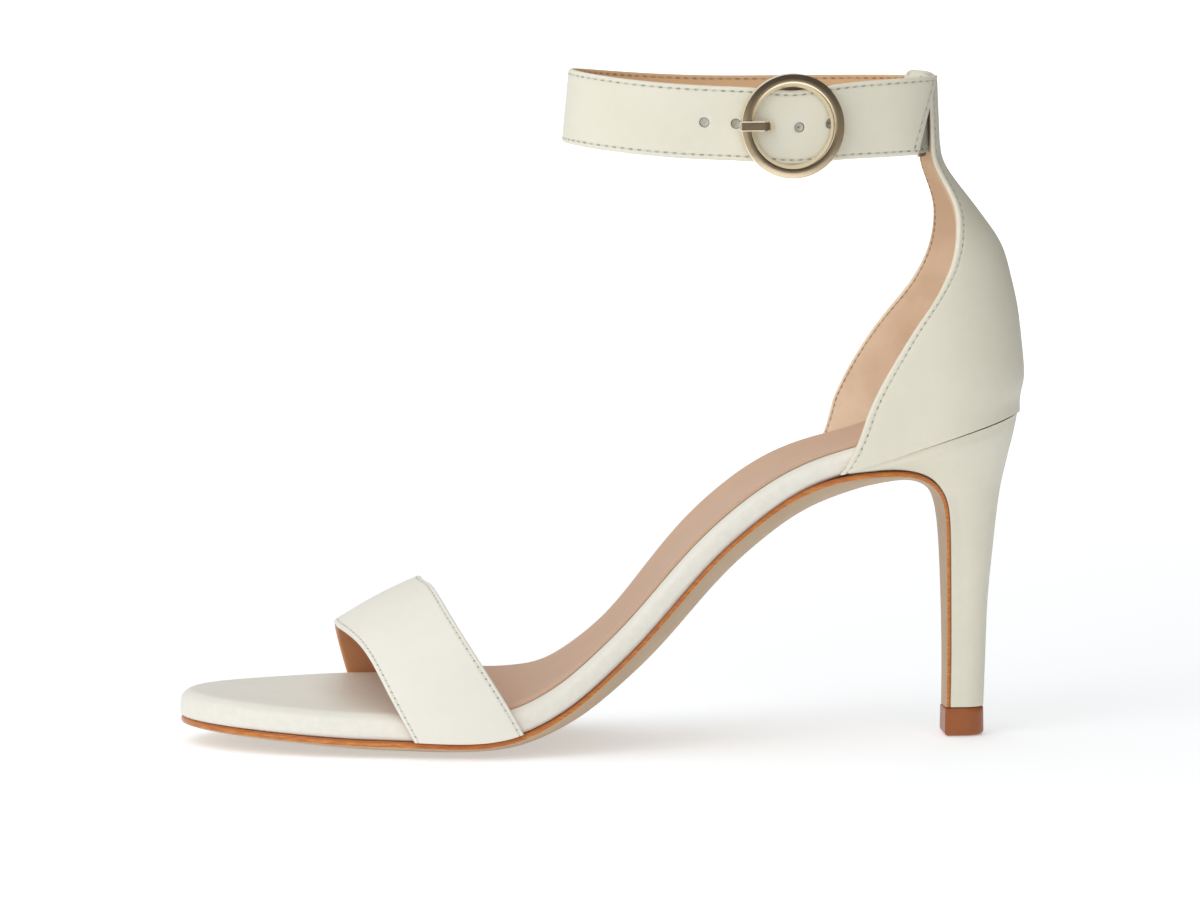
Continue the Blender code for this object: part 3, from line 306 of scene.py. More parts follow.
# A stitch: its depth in the leather, its slant, how flat it is, how far its ends dip, its points
STITCH_DEPTH = 0.12
STITCH_SLANT = 0.12
STITCH_FLATNESS = 0.62
STITCH_DIP = 0.22
STITCH_SIDES = 8
STITCH_RINGS = 7

# A band's rounded edge: its points and how far it reaches in at most
RIM_STEPS = 8
RIM_REACH = 0.75

# The cut coordinates of a point far from any edge
UNCUT = (0.0, 50.0, 0.0)

# The photograph's camera: 1200 pixels across, standing off the outer side
PHOTO_WIDTH = 1200
PHOTO_FOCUS = 8228.0
CAMERA_AWAY = 2.2
CAMERA_HEIGHT = 0.301
CAMERA_TURN = math.radians(5.0)
CAMERA_AIM = (-0.00075, 0.0018, 0.078)

# The floor: its reach and height in metres, the cool white of its own light, and the distances
# in metres between which that light changes
FLOOR_REACH = 6.0
FLOOR_Z = -0.0002
GLOW_TINT = (0.965, 1.0, 1.02)
GLOW_REACH = (0.15, 1.2)


def spline(knots, values):
    """Return a natural cubic spline through the knots."""
    knots = np.asarray(knots, float)
    values = np.asarray(values, float)
    step = np.diff(knots)
    slope = np.diff(values) / step
    count = len(knots)
    system = np.eye(count)
    right = np.zeros(count)
    for i in range(1, count - 1):
        system[i, i - 1:i + 2] = step[i - 1], 2 * (step[i - 1] + step[i]), step[i]
        right[i] = 6 * (slope[i] - slope[i - 1])
    bend = np.linalg.solve(system, right)

    def value(at):
        at = np.clip(np.asarray(at, float), knots[0], knots[-1])
        i = np.clip(np.searchsorted(knots, at) - 1, 0, count - 2)
        a = (knots[i + 1] - at) / step[i]
        b = 1 - a
        curve = ((a ** 3 - a) * bend[i] + (b ** 3 - b) * bend[i + 1]) * step[i] ** 2 / 6
        return a * values[i] + b * values[i + 1] + curve

    return value


def smooth(x, low, high):
    """Return 0 below low, 1 above high and a smooth step between them."""
    t = np.clip((np.asarray(x, float) - low) / (high - low), 0, 1)
    return t * t * (3 - 2 * t)


def lengths(points):
    """Return the length along a polyline at each of its points."""
    steps = np.linalg.norm(np.diff(points, axis=0), axis=1)
    return np.concatenate([[0.0], np.cumsum(steps)])


def sampled(wanted, along, rows):
    """Return rows of values, which are known at lengths along, at the wanted lengths."""
    return np.stack([np.interp(wanted, along, column) for column in rows.T], axis=1)


def resample(points, count):
    """Return count points spread evenly along a polyline."""
    points = np.asarray(points, float)
    along = lengths(points)
    return sampled(np.linspace(0, along[-1], count), along, points)


def unit(vectors):
    """Return vectors made one long."""
    return vectors / np.linalg.norm(vectors, axis=-1, keepdims=True)


def column_of(rows, name):
    """Return one named column of a table."""
    return np.array([getattr(row, name) for row in rows])


class Sheet:
    """A sole-like surface: a line in the shoe's middle plane with a width and a hollow."""

    def __init__(self, xs, zs, centre, half, hollow):
        line = np.stack([xs, zs], axis=1)
        self.knots = lengths(line)
        self.length = self.knots[-1]
        self.x = spline(self.knots, xs)
        self.z = spline(self.knots, zs)
        self.centre = spline(self.knots, centre)
        self.half = spline(self.knots, half)
        self.hollow = spline(self.knots, hollow)
        self.bank = spline(self.knots, np.zeros(len(self.knots)))
        self.nose = NOSE_REACH
        self.tail = 0.0

    def column(self, values):
        """Return a spline of another table column along this sheet's line."""
        return spline(self.knots, values)

    def at_x(self, x):
        """Return the length along the line at a place x, for lines that keep going back."""
        s = np.linspace(0, self.length, 600)
        return np.interp(x, self.x(s), s)

    def roundness(self, s):
        """Return the share of the width that is left at the rounded ends."""
        front = np.clip(1 - s / self.nose, 0, 1)
        share = np.sqrt(1 - front ** 2)
        if self.tail:
            back = np.clip(1 - (self.length - s) / self.tail, 0, 1)
            share = share * np.sqrt(1 - back ** 2)
        return share

    def outline(self, s, outset=0.0):
        """Return the two sides at stations s as (s, y) points, moved out by outset."""
        width = self.half(s) * self.roundness(s)
        near = np.stack([s, self.centre(s) - width], axis=1)
        far = np.stack([s, self.centre(s) + width], axis=1)
        ring = np.concatenate([near, far[::-1]])
        along = unit(np.roll(ring, -1, axis=0) - np.roll(ring, 1, axis=0))
        out = np.stack([along[:, 1], -along[:, 0]], axis=1)
        if self.tail == 0.0:
            last = len(s) - 1
            out[last] = 0.0, -1.0
            out[last + 1] = 0.0, 1.0
        ring = ring + outset * out
        return ring[:len(s)], ring[len(s):][::-1]

    def place(self, s, y, height, hollow, banked=UNDER_BANK):
        """Return the point at height above the sheet, with hollow pulling its middle down."""
        width = np.maximum(self.half(s) * self.roundness(s), 0.5)
        v = np.clip((y - self.centre(s)) / width, -1, 1)
        drop = hollow * (1 - v * v) * self.roundness(s) ** 2
        step = 0.05
        dx = self.x(s + step) - self.x(s - step)
        dz = self.z(s + step) - self.z(s - step)
        size = np.hypot(dx, dz)
        lift = height - drop
        raised = banked * self.bank(s) * (1 + v) / 2
        x = self.x(s) - dz / size * lift
        return np.stack([x, y + 0 * s, self.z(s) + dx / size * lift + raised], axis=-1)


def crowd(reach, count):
    """Return count lengths from just above 0 up to reach, crowded toward 0."""
    t = np.linspace(0.03, math.pi / 2, count)
    return reach * (1 - np.cos(t))


def nose_spacing():
    """Return stations along the sole's rounded nose."""
    return crowd(NOSE_REACH * NOSE_CROWD, NOSE_ROWS)


def row_spacing(length):
    """Return stations along the sole, close at the rounded ends and even between them."""
    nose = nose_spacing()
    tail = length - crowd(TAIL_REACH, TAIL_ROWS)[::-1]
    middle = np.linspace(nose[-1], tail[0], MIDDLE_ROWS)
    return np.concatenate([nose[:-1], middle[:-1], tail])


def board_sheet():
    """Return the sheet of the board's underside."""
    sheet = Sheet(*(column_of(BOARD, name) for name in ("x", "edge", "centre", "half", "cup")))
    sheet.tail = TAIL_REACH
    sheet.bank = sheet.column(column_of(BOARD, "bank"))
    return sheet


def front_thick(x):
    """Return the outsole's thickness at a place x in front of the heel."""
    return BALL_THICK + (WAIST_THICK - BALL_THICK) * smooth(x, *WAIST_REACH)


def join_drop(x):
    """Return how far below the board's sheet the board and the outsole meet at a place x."""
    return JOIN_DROP * front_thick(x) * (1 - smooth(x, *JOIN_FADE))


def outsole_sheet(board):
    """Return the sheet of the outsole's upper face, with its sag and edge thickness."""
    front = [row for row in BOARD if row.x < SOLE_JOIN_X]
    on_board = board.at_x(column_of(BREAST, "x"))
    middle = board.centre(on_board) * smooth(column_of(BREAST, "z"), *BREAST_REACH)

    def joined(name, breast=None, more=0.0):
        rear = column_of(BREAST, name) if breast is None else breast
        return np.concatenate([column_of(front, name) + more, rear])

    xs = joined("x")
    xs[0] += SOLE_TIP_INSET
    zs = joined("edge", column_of(BREAST, "z"), -GAP)
    half = joined("half", more=SOLE_OVERHANG)
    thick = np.concatenate([front_thick(column_of(front, "x")), column_of(BREAST, "thick")])
    sheet = Sheet(xs, zs, joined("centre", middle), half, joined("cup"))
    sheet.bank = sheet.column(joined("bank", board.bank(on_board)))
    return sheet, sheet.column(joined("sag")), sheet.column(thick)


class Skin:
    """Collects the points, faces, finishes and cut coordinates of one piece.

    A point's cut coordinates, in millimetres, are its length along the piece, its distance from
    the piece's nearest edge and, on a band, its distance from the band's last end.
    """

    def __init__(self):
        self.points = []
        self.cut = []
        self.faces = []
        self.finishes = []

    def add(self, points, cut=UNCUT):
        """Add points and return their numbers in the same layout."""
        points = np.asarray(points, float)
        first = len(self.points)
        self.points.extend(points.reshape(-1, 3))
        self.cut.extend(np.broadcast_to(cut, points.shape).reshape(-1, 3))
        return np.arange(first, len(self.points)).reshape(points.shape[:-1])

    def face(self, numbers, finish=0):
        """Add one face."""
        self.faces.append(tuple(int(n) for n in numbers))
        self.finishes.append(finish)

    def strip(self, a, b, finish=0, closed=False):
        """Join two lines of equal count with quads."""
        count = len(a)
        for i in range(count if closed else count - 1):
            j = (i + 1) % count
            self.face((a[i], a[j], b[j], b[i]), finish)

    def grid(self, numbers, finish=0, flip=False):
        """Fill a grid of point numbers with quads."""
        for a, b in zip(numbers, numbers[1:]):
            if flip:
                self.strip(b, a, finish)
            else:
                self.strip(a, b, finish)

    def volume(self):
        """Return the signed volume."""
        points = np.asarray(self.points)
        total = 0.0
        for face in self.faces:
            first = points[face[0]]
            for one, two in zip(face[1:], face[2:]):
                total += np.dot(first, np.cross(points[one], points[two]))
        return total / 6

    def build(self, name, materials, replaces=(), sharp=48.0):
        """Make the object, its faces turned outward, and fasten it to the shoe."""
        faces = self.faces
        if not faces:
            raise RuntimeError("no faces were made for " + name)
        if self.volume() < 0:
            faces = [tuple(reversed(face)) for face in faces]
        mesh = bpy.data.meshes.new(name)
        mesh.from_pydata([tuple(p) for p in (np.asarray(self.points) - ORIGIN) * MM], [], faces)
        for material in materials:
            mesh.materials.append(material)
        mesh.polygons.foreach_set("material_index", self.finishes)
        mesh.polygons.foreach_set("use_smooth", [True] * len(faces))
        cut = mesh.attributes.new("cut", "FLOAT_VECTOR", "POINT")
        cut.data.foreach_set("vector", np.asarray(self.cut, np.float32).ravel())
        mesh.set_sharp_from_angle(angle=math.radians(sharp))
        mesh.update()
        piece = bpy.data.objects.new(name, mesh)
        bpy.context.scene.collection.objects.link(piece)
        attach(piece, "root")
        if replaces:
            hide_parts(*replaces)
        return piece


class Value:
    """A socket of a material, which Python's operators work on."""

    def __init__(self, tree, socket):
        self.tree = tree
        self.socket = socket

    def feed(self, socket, value):
        """Give a socket a link or a fixed value."""
        if isinstance(value, Value):
            self.tree.links.new(value.socket, socket)
        else:
            socket.default_value = value

    def node(self, kind, settings=None, sockets=None, output=0):
        """Add a node: its settings first, then its sockets' values or links."""
        made = self.tree.nodes.new(kind)
        for name, value in (settings or {}).items():
            setattr(made, name, value)
        for name, value in (sockets or {}).items():
            self.feed(made.inputs[name], value)
        return Value(self.tree, made.outputs[output])

    def math(self, operation, *values):
        """Add a Math node."""
        return self.node("ShaderNodeMath", {"operation": operation}, dict(enumerate(values)))

    def __add__(self, other):
        return self.math("ADD", self, other)

    def __sub__(self, other):
        return self.math("SUBTRACT", self, other)

    def __rsub__(self, other):
        return self.math("SUBTRACT", other, self)

    def __mul__(self, other):
        return self.math("MULTIPLY", self, other)

    def __truediv__(self, other):
        return self.math("DIVIDE", self, other)

    def __rtruediv__(self, other):
        return self.math("DIVIDE", other, self)

    def __pow__(self, other):
        return self.math("POWER", self, other)

    def __rpow__(self, other):
        return self.math("POWER", other, self)

    __radd__ = __add__
    __rmul__ = __mul__

    def size(self):
        """Return the value without its sign."""
        return self.math("ABSOLUTE", self)

    def sine(self):
        """Return the sine of the value."""
        return self.math("SINE", self)

    def beat(self, pitch):
        """Return the distance from the nearest multiple of pitch, with its sign."""
        return self.math("WRAP", self, pitch / 2, -pitch / 2)

    def ramp(self, low, high):
        """Return 0 below low, 1 above high and a smooth step between them."""
        settings = {"interpolation_type": "SMOOTHSTEP"}
        limits = {"Value": self, "From Min": low, "From Max": high}
        return self.node("ShaderNodeMapRange", settings, limits)

    def part(self, axis):
        """Return one part of a vector."""
        return self.node("ShaderNodeSeparateXYZ", None, {0: self}, axis)

    def times(self, scale):
        """Return a vector times a number or another vector."""
        if isinstance(scale, tuple):
            return self.node("ShaderNodeVectorMath", {"operation": "MULTIPLY"}, {0: self, 1: scale})
        return self.node("ShaderNodeVectorMath", {"operation": "SCALE"}, {0: self, "Scale": scale})

    def tint(self, one, two):
        """Return a colour between two, by this value."""
        return self.node("ShaderNodeMix", {"data_type": "RGBA"}, {0: self, 6: one, 7: two}, 2)

    def noise(self, scale, detail=2.0, roughness=0.5):
        """Return noise from 0 to 1 at this place."""
        sockets = {"Vector": self, "Scale": scale, "Detail": detail, "Roughness": roughness}
        return self.node("ShaderNodeTexNoise", None, sockets)

    def cells(self, scale):
        """Return the smoothed distance to the middle of the nearest cell at this place."""
        sockets = {"Vector": self, "Scale": scale}
        return self.node("ShaderNodeTexVoronoi", {"feature": "SMOOTH_F1"}, sockets)


class Finish:
    """A material being made: its shader, the place in millimetres and the cut coordinates."""

    def __init__(self, name):
        self.material = bpy.data.materials.new(name)
        self.material.use_nodes = True
        self.tree = self.material.node_tree
        self.shader = self.tree.nodes["Principled BSDF"]
        start = Value(self.tree, None)
        self.place = start.node("ShaderNodeTexCoord", None, None, "Object").times(1000.0)
        self.cut = start.node("ShaderNodeAttribute", {"attribute_name": "cut"}, None, "Vector")

    def set(self, **sockets):
        """Set or link the shader's sockets, named with underscores for spaces."""
        for name, value in sockets.items():
            socket = self.shader.inputs[name.replace("_", " ")]
            self.place.feed(socket, value)

    def bump(self, height, depth):
        """Give the surface a relief: height from 0 to 1, depth in millimetres."""
        sockets = {"Height": height, "Distance": depth * MM, "Strength": 1.0}
        self.set(Normal=self.place.node("ShaderNodeBump", None, sockets))


def toned(colour, factor):
    """Return a colour times a factor."""
    return [c * factor for c in colour]


def rgba(colour, factor=1.0):
    """Return a colour with alpha, times a factor, with no part over 1."""
    return tuple(min(c, 1.0) for c in toned(colour, factor)) + (1.0,)


def needle_marks(along, aside, seam):
    """Return the marks at a seam's needle holes: 1 in a mark, 0 beside it."""
    run = (along.beat(seam.pitch) + aside * seam.slant) / (seam.length / 2)
    rise = aside / (seam.width / 2)
    return 1 - ((run * run + rise * rise) ** 0.5).ramp(0.7, 1.2)


def leather(name, colour, shade, seam=None, end_seam=False, painted_shade=()):
    """Return smooth leather, with painted shadows at the needle holes where a seam is given.

    The last argument holds stretches of painted shade, for leather lying in shade behind other
    parts: the lengths between which each runs, and its shaded colour.
    """
    finish = Finish(name)
    place, cut = finish.place, finish.cut
    mottle = place.noise(0.06, 3.0).ramp(0.3, 0.7)
    cloud = place.noise(0.35, 3.0).ramp(0.25, 0.75)
    grain = place.cells(2.2)
    pores = place.noise(5.5, 2.0)
    base = (mottle * 0.5 + cloud * 0.25 + grain * 0.25).tint(rgba(colour), rgba(shade))
    edge = cut.part(1)
    rub = 1 - edge.ramp(0.1, 1.1)
    if end_seam:
        rub = rub.math("MAXIMUM", rub, 1 - cut.part(2).ramp(0.4, 1.4))
    worn = rub * (place.noise(0.5, 3.0).ramp(0.35, 0.7) * 0.5 + 0.35)
    base = worn.tint(base, rgba(colour, 1.06))
    # Painted shade along the stretches given in the last argument
    for first, last, shaded_colour in painted_shade:
        along = cut.part(0)
        stretch = along.ramp(first, first + 3.0) - along.ramp(last, last + 2.0)
        base = stretch.tint(base, rgba(shaded_colour))
    height = (grain * 0.6 + pores * 0.3 + cloud * 0.6) * 0.3
    if seam:
        aside = edge - seam.inset
        marks = needle_marks(cut.part(0), aside, seam)
        trough = 1 - aside.size().ramp(0.1, 0.8)
        if end_seam:
            behind = cut.part(2) - END_SEAM_INSET
            inside = edge.ramp(seam.inset + 0.3, seam.inset + 0.6)
            marks = marks + needle_marks(edge, behind, seam) * inside
            trough = trough + (1 - behind.size().ramp(0.1, 0.8)) * inside
        # Painted shade in the seam's groove
        base = (trough * 0.12).tint(base, rgba(shade, 0.8))
        # Painted shadows at the needle holes, of varying strength
        mark_strength = place.noise(0.7, 2.0).ramp(0.3, 0.65) * 0.40 + 0.23
        base = (marks * mark_strength).tint(base, (0.08, 0.08, 0.055, 1.0))
        height = height - trough * 1.3 - marks * 2.6
    finish.set(
        Base_Color=base,
        Roughness=0.40 + cloud * 0.08 + pores * 0.08 - rub * 0.05,
        Specular_IOR_Level=0.42,
        Sheen_Weight=0.06,
        Sheen_Roughness=0.4,
    )
    finish.bump(height, 0.06)
    return finish.material


def lining(name, colour, shade, seam=None, later=()):
    """Return soft lining leather with a fine nap, and a brown seam where one is given.

    later holds the lengths between which the colour changes, and the colour after them.
    """
    finish = Finish(name)
    place, cut = finish.place, finish.cut
    nap = place.noise(3.2, 4.0, 0.65)
    cloud = place.noise(0.12, 3.0).ramp(0.25, 0.75)
    edge = cut.part(1)
    rub = 1 - edge.ramp(0.3, 1.0)
    base = (cloud * 0.3).tint(rgba(colour), rgba(shade))
    base = (rub * 0.35).tint(base, rgba(colour, 1.1))
    for low, high, next_colour in later:
        base = cut.part(0).ramp(low, high).tint(base, rgba(next_colour))
    base = (nap * 0.22).tint(base, rgba(shade, 0.75))
    height = nap * 0.5
    if seam:
        aside = edge - LINING_SEAM_INSET
        marks = needle_marks(cut.part(0), aside, seam._replace(length=0.6 * seam.pitch, width=0.5))
        trough = 1 - aside.size().ramp(0.1, 0.45)
        mark_strength = place.noise(0.7, 2.0).ramp(0.3, 0.65) * 0.45 + 0.2
        # Painted shade in the seam's groove
        base = (trough * 0.3).tint(base, rgba(shade, 0.6))
        base = (marks * mark_strength).tint(base, (0.17, 0.055, 0.02, 1.0))
        height = height - trough * 1.5 - marks * 2.0
    finish.set(
        Base_Color=base,
        Roughness=0.62 + nap * 0.16,
        Specular_IOR_Level=0.3,
        Sheen_Weight=0.15,
        Sheen_Roughness=0.5,
    )
    finish.bump(height, 0.05)
    return finish.material


def painted_edge(name, colour, light, dark):
    """Return the sole's painted edge: brown with lighter streaks along it."""
    finish = Finish(name)
    place = finish.place
    streak = place.times((0.25, 0.25, 2.2)).noise(1.0, 4.0, 0.6).ramp(0.35, 0.75)
    fleck = place.noise(1.6, 4.0).ramp(0.5, 0.8)
    base = streak.tint(rgba(colour), rgba(light))
    base = (fleck * 0.35).tint(base, rgba(dark))
    finish.set(
        Base_Color=base,
        Roughness=0.34 + fleck * 0.2,
        Specular_IOR_Level=0.5,
        Coat_Weight=0.15,
        Coat_Roughness=0.25,
    )
    finish.bump(streak * 0.5 + place.noise(4.0, 3.0) * 0.5, 0.04)
    return finish.material


def sole_leather(name, colour, shade):
    """Return the tan underside leather, faintly fibrous and scuffed."""
    finish = Finish(name)
    place = finish.place
    fibre = place.times((0.6, 2.2, 2.2)).noise(1.4, 5.0, 0.65)
    cloud = place.noise(0.08, 3.0).ramp(0.3, 0.7)
    scuff = place.times((0.4, 0.8, 0.8)).noise(0.5, 4.0, 0.7).ramp(0.58, 0.75)
    base = (fibre * 0.5 + cloud * 0.4).tint(rgba(colour), rgba(shade))
    base = (scuff * 0.3).tint(base, rgba(shade, 0.6))
    finish.set(Base_Color=base, Roughness=0.45 + fibre * 0.2, Specular_IOR_Level=0.4)
    finish.bump(fibre, 0.05)
    return finish.material


def tip_plastic(name, colour, shade):
    """Return the heel tip's brown plastic with fine scratches."""
    finish = Finish(name)
    place = finish.place
    cloud = place.noise(0.5, 3.0)
    scratch = place.times((0.3, 0.3, 4.0)).noise(2.0, 3.0).ramp(0.55, 0.7)
    base = (cloud * 0.6 + scratch * 0.2).tint(rgba(colour), rgba(shade))
    finish.set(Base_Color=base, Roughness=0.36 + scratch * 0.15, Specular_IOR_Level=0.5)
    finish.bump(scratch * 0.5 + place.noise(3.0) * 0.5, 0.02)
    return finish.material


def plated_metal(name, colour, shade):
    """Return polished pale gold plating with a faint haze."""
    finish = Finish(name)
    place = finish.place
    cloud = place.noise(0.3, 3.0)
    haze = place.noise(1.2, 2.0)
    base = (cloud * 0.7).tint(rgba(colour), rgba(shade))
    finish.set(
        Base_Color=base,
        Metallic=1.0,
        Roughness=0.06 + cloud * 0.04 + haze * 0.03,
    )
    finish.bump(haze, 0.0006)
    return finish.material


def thread(name, colour, shade):
    """Return waxed thread with its twist."""
    finish = Finish(name)
    place, cut = finish.place, finish.cut
    twist = ((cut.part(0) * 9.0).sine() + 1) * 0.5
    base = (twist * 0.5 + place.noise(0.5) * 0.4).tint(rgba(colour), rgba(shade))
    finish.set(Base_Color=base, Roughness=0.5 + twist * 0.15)
    finish.bump(twist, 0.03)
    return finish.material


def pad(skin, sheet, s, levels, columns, finishes):
    """Add a closed pad from rings at (inset, height, hollow, banked) levels, lowest first.

    finishes holds the finish of each strip between two rings, and its ends those of the faces.
    """
    under, over = finishes[0], finishes[-1]
    rings = []
    for inset, height, hollow, banked in levels:
        near, far = sheet.outline(s, -inset)
        ends = []
        for line in (near, far):
            points = sheet.place(line[:, 0], line[:, 1], height, hollow, banked)
            points[:, 2] = np.maximum(points[:, 2], 0.0)
            cut = np.stack([s, 0 * s + inset, 0 * s], axis=1)
            ends.append(skin.add(points, cut))
        rings.append(ends)
    for (near_a, far_a), (near_b, far_b), finish in zip(rings, rings[1:], finishes):
        loop_a = np.concatenate([near_a, far_a[::-1]])
        loop_b = np.concatenate([near_b, far_b[::-1]])
        skin.strip(loop_a, loop_b, finish, closed=True)
    lower = (levels[0], rings[0], True, under)
    upper = (levels[-1], rings[-1], False, over)
    for (inset, height, hollow, banked), ring, flip, finish in (lower, upper):
        near, far = sheet.outline(s, -inset)
        lines = [ring[0][1:-1]]
        for share in np.linspace(0, 1, columns + 1)[1:-1]:
            mid = near + (far - near) * share
            points = sheet.place(mid[:, 0], mid[:, 1], height, hollow, banked)[1:-1]
            points[:, 2] = np.maximum(points[:, 2], 0.0)
            reach = np.minimum(share, 1 - share) * np.abs(far - near)[1:-1, 1] + inset
            cut = np.stack([s[1:-1], reach, 0 * reach], axis=1)
            lines.append(skin.add(points, cut))
        lines.append(ring[1][1:-1])
        lines = np.array(lines)
        skin.grid(lines, finish, flip=flip)
        front = [ring[0][0], *lines[:, 0], ring[1][0]]
        back = [ring[1][-1], *lines[::-1, -1], ring[0][-1]]
        for end in (front, back):
            skin.face(end[::-1] if flip else end, finish)


class Band:
    """A leather band: a grid whose rows run along it and whose columns cross it edge to edge."""

    def __init__(self, grid, thick, lift=0.0):
        self.grid = np.array([resample(row, grid.shape[1]) for row in grid])
        rows, self.count = self.grid.shape[:2]
        along = np.gradient(self.grid, axis=0)
        across = np.gradient(self.grid, axis=1)
        self.normal = unit(np.cross(across, along))
        self.width = np.array([lengths(row)[-1] for row in self.grid])
        self.thick = np.broadcast_to(np.asarray(thick, float), (rows,))
        self.lift = lift
        self.rows = np.arange(rows)
        self.edge_length = [lengths(self.between(self.grid, near, share))
                            for near, share in ((SEAM_INSET, 0.0), (-SEAM_INSET, 1.0))]

    def between(self, values, near, share):
        """Return values at a distance near plus a share of the width from the first edge."""
        place = np.clip((near / self.width + share) * (self.count - 1), 0, self.count - 1)
        low = np.minimum(place.astype(int), self.count - 2)
        t = (place - low)[:, None]
        return values[self.rows, low] * (1 - t) + values[self.rows, low + 1] * t

    def at(self, near, share, depth):
        """Return the points, normals and cut coordinates of one line along the band."""
        point = self.between(self.grid, near, share)
        normal = unit(self.between(self.normal, near, share))
        place = near + share * self.width
        first, last = self.edge_length
        along = first + (last - first) * np.clip(place / self.width, 0, 1)
        edge = np.minimum(place, self.width - place)
        cut = np.stack([along, edge, along[-1] - along], axis=1)
        return point + normal * (self.lift - depth)[:, None], normal, cut

    def lay(self, skin, shares, skip=(), tuck=0.0):
        """Add the band's faces and return its point numbers: outer face and lining face.

        The outer leather turns over the rounded edge and meets the lining half way round.
        skip holds patches of rows and columns left open, tuck is how far the outer face
        bends in at the band's last row.
        """
        start = np.zeros(len(self.thick))
        start[-1] = tuck
        half = (self.thick - start) / 2
        reach = np.minimum(half, RIM_REACH)
        turn = np.linspace(0, math.pi, RIM_STEPS + 1)
        curve = [(reach * (1 - math.sin(t)), start + half * (1 - math.cos(t))) for t in turn]
        places = [(0.0, share, start) for share in shares]
        places += [(-inset, 1.0, depth) for inset, depth in curve]
        inner_first = len(places)
        places += [(0.0, share, self.thick) for share in shares[::-1]]
        places += [(inset, 0.0, depth) for inset, depth in curve[::-1]]
        lines = []
        for near, share, depth in places:
            point, _, cut = self.at(near, share, depth)
            lines.append(skin.add(point, cut))
        count = len(shares)
        open_faces = set()
        for low_row, high_row, low_column, high_column in skip:
            for row in range(low_row, high_row):
                for column in range(low_column, high_column):
                    open_faces.add((row, column))
                    open_faces.add((row, inner_first + count - 2 - column))
        lining_faces = range(count + RIM_STEPS // 2, inner_first + count + RIM_STEPS // 2)
        for index, a in enumerate(lines):
            b = lines[(index + 1) % len(lines)]
            finish = int(index in lining_faces)
            for row in range(len(a) - 1):
                if (row, index) not in open_faces:
                    skin.face((a[row], b[row], b[row + 1], a[row + 1]), finish)
        lines = np.array(lines)
        skin.face(lines[:, 0][::-1], 1)
        skin.face(lines[:, -1], 0)
        return lines[:count].T, lines[inner_first:inner_first + count][::-1].T

    def seams(self, inset, kept=slice(None)):
        """Return a seam line beside each edge: its points, normals and lengths in the kept rows."""
        flat = 0 * self.width
        runs = []
        for near, share in ((inset, 0.0), (-inset, 1.0)):
            points, normals, cut = self.at(near + flat, share, STITCH_DEPTH + flat)
            runs.append((points[kept], normals[kept], cut[kept, 0]))
        return runs

    def end_seam(self, kept):
        """Return the same for the kept points of a seam line across the band's last end."""
        points, normals = [], []
        for share in np.linspace(0, 1, 40):
            line, normal, cut = self.at(0.0, share, STITCH_DEPTH + 0 * self.width)
            for values, row in ((points, line), (normals, normal)):
                values.append([np.interp(END_SEAM_INSET, cut[::-1, 2], c) for c in row[::-1].T])
        points, normals = np.array(points), np.array(normals)
        return points[kept], normals[kept], lengths(points)[kept]


def sew(skin, points, normals, along, seam, thick):
    """Add a run of stitches along a seam line, one between each two needle holes."""
    pitch = seam.pitch
    reach = (pitch - 0.6 * seam.length) / 2
    numbers = np.arange(math.ceil(along[0] / pitch), math.floor(along[-1] / pitch))
    middle = (numbers + 0.5) * pitch
    centre = sampled(middle, along, points)
    normal = unit(sampled(middle, along, normals))
    direction = unit(sampled(middle + 0.3, along, points) - centre)
    turned = unit(direction + np.cross(normal, direction) * STITCH_SLANT)
    side = np.cross(normal, turned)
    place = np.linspace(-1, 1, STITCH_RINGS)
    swell = np.sqrt(np.clip(1.02 - place ** 4, 0.02, 1))
    angle = np.linspace(0, 2 * math.pi, STITCH_SIDES, endpoint=False)
    for one, normal_one, along_one, side_one, u in zip(centre, normal, turned, side, middle):
        lines = []
        for p, size in zip(place, swell):
            spot = one + along_one * (p * reach) - normal_one * (STITCH_DIP * thick * p * p)
            ring = (spot + np.outer(np.cos(angle) * thick * size, side_one)
                    + np.outer(np.sin(angle) * thick * STITCH_FLATNESS * size, normal_one))
            lines.append(skin.add(ring, (u + p * reach, 0.0, 0.0)))
        for a, b in zip(lines, lines[1:]):
            skin.strip(a, b, closed=True)
        skin.face(lines[0][::-1])
        skin.face(lines[-1])


def stitches(name, context, seam, runs):
    """Make one piece's stitches along seam lines, each given by its points, normals and lengths."""
    colour = context.scene.sandal_colours.thread
    thread_radius = context.scene.sandal_sizes.thread_width / MM / 2
    skin = Skin()
    for points, normals, along in runs:
        sew(skin, points, normals, along, seam, thread_radius)
    finish = thread(name + "_thread", colour, toned(colour, 0.8))
    skin.build(name + "_stitches", [finish])


def heel_outline(board, outer_x, inner_x, outset, count):
    """Return the board's outline from outer_x round the heel to inner_x, in (x, y)."""
    s = np.concatenate([np.linspace(100.0, board.length - TAIL_REACH, 160)[:-1],
                        board.length - crowd(TAIL_REACH, 60)[::-1]])
    near, far = board.outline(s, outset)
    ring = np.concatenate([near, far[::-1]])
    beyond = np.maximum(ring[:, 0] - board.length, 0)
    ring = np.stack([board.x(ring[:, 0]) + beyond, ring[:, 1]], axis=1)
    limit = np.where(np.arange(len(ring)) < len(s), outer_x, inner_x)
    inside = ring[:, 0] > limit
    return resample(ring[inside], count)


def d_section(front_half, half, chord, count):
    """Return a D section as (place on the chord, y), from one front corner round to the other."""
    turn = np.clip(1 - 1.02 * half / chord, 0.2, 0.6)
    c = np.concatenate([
        np.linspace(0, turn, 40)[:-1],
        turn + (1 - turn) * np.sin(np.linspace(0, math.pi / 2, 80)),
    ])
    side = front_half + (half - front_half) * smooth(c, 0, turn)
    back = half * np.sqrt(np.clip(1 - ((c - turn) / (1 - turn)) ** 2, 0, 1))
    y = np.where(c < turn, side, back)
    near = np.stack([c * chord, -y], axis=1)
    far = np.stack([c * chord, y], axis=1)[::-1][1:]
    return resample(np.concatenate([near, far]), count)


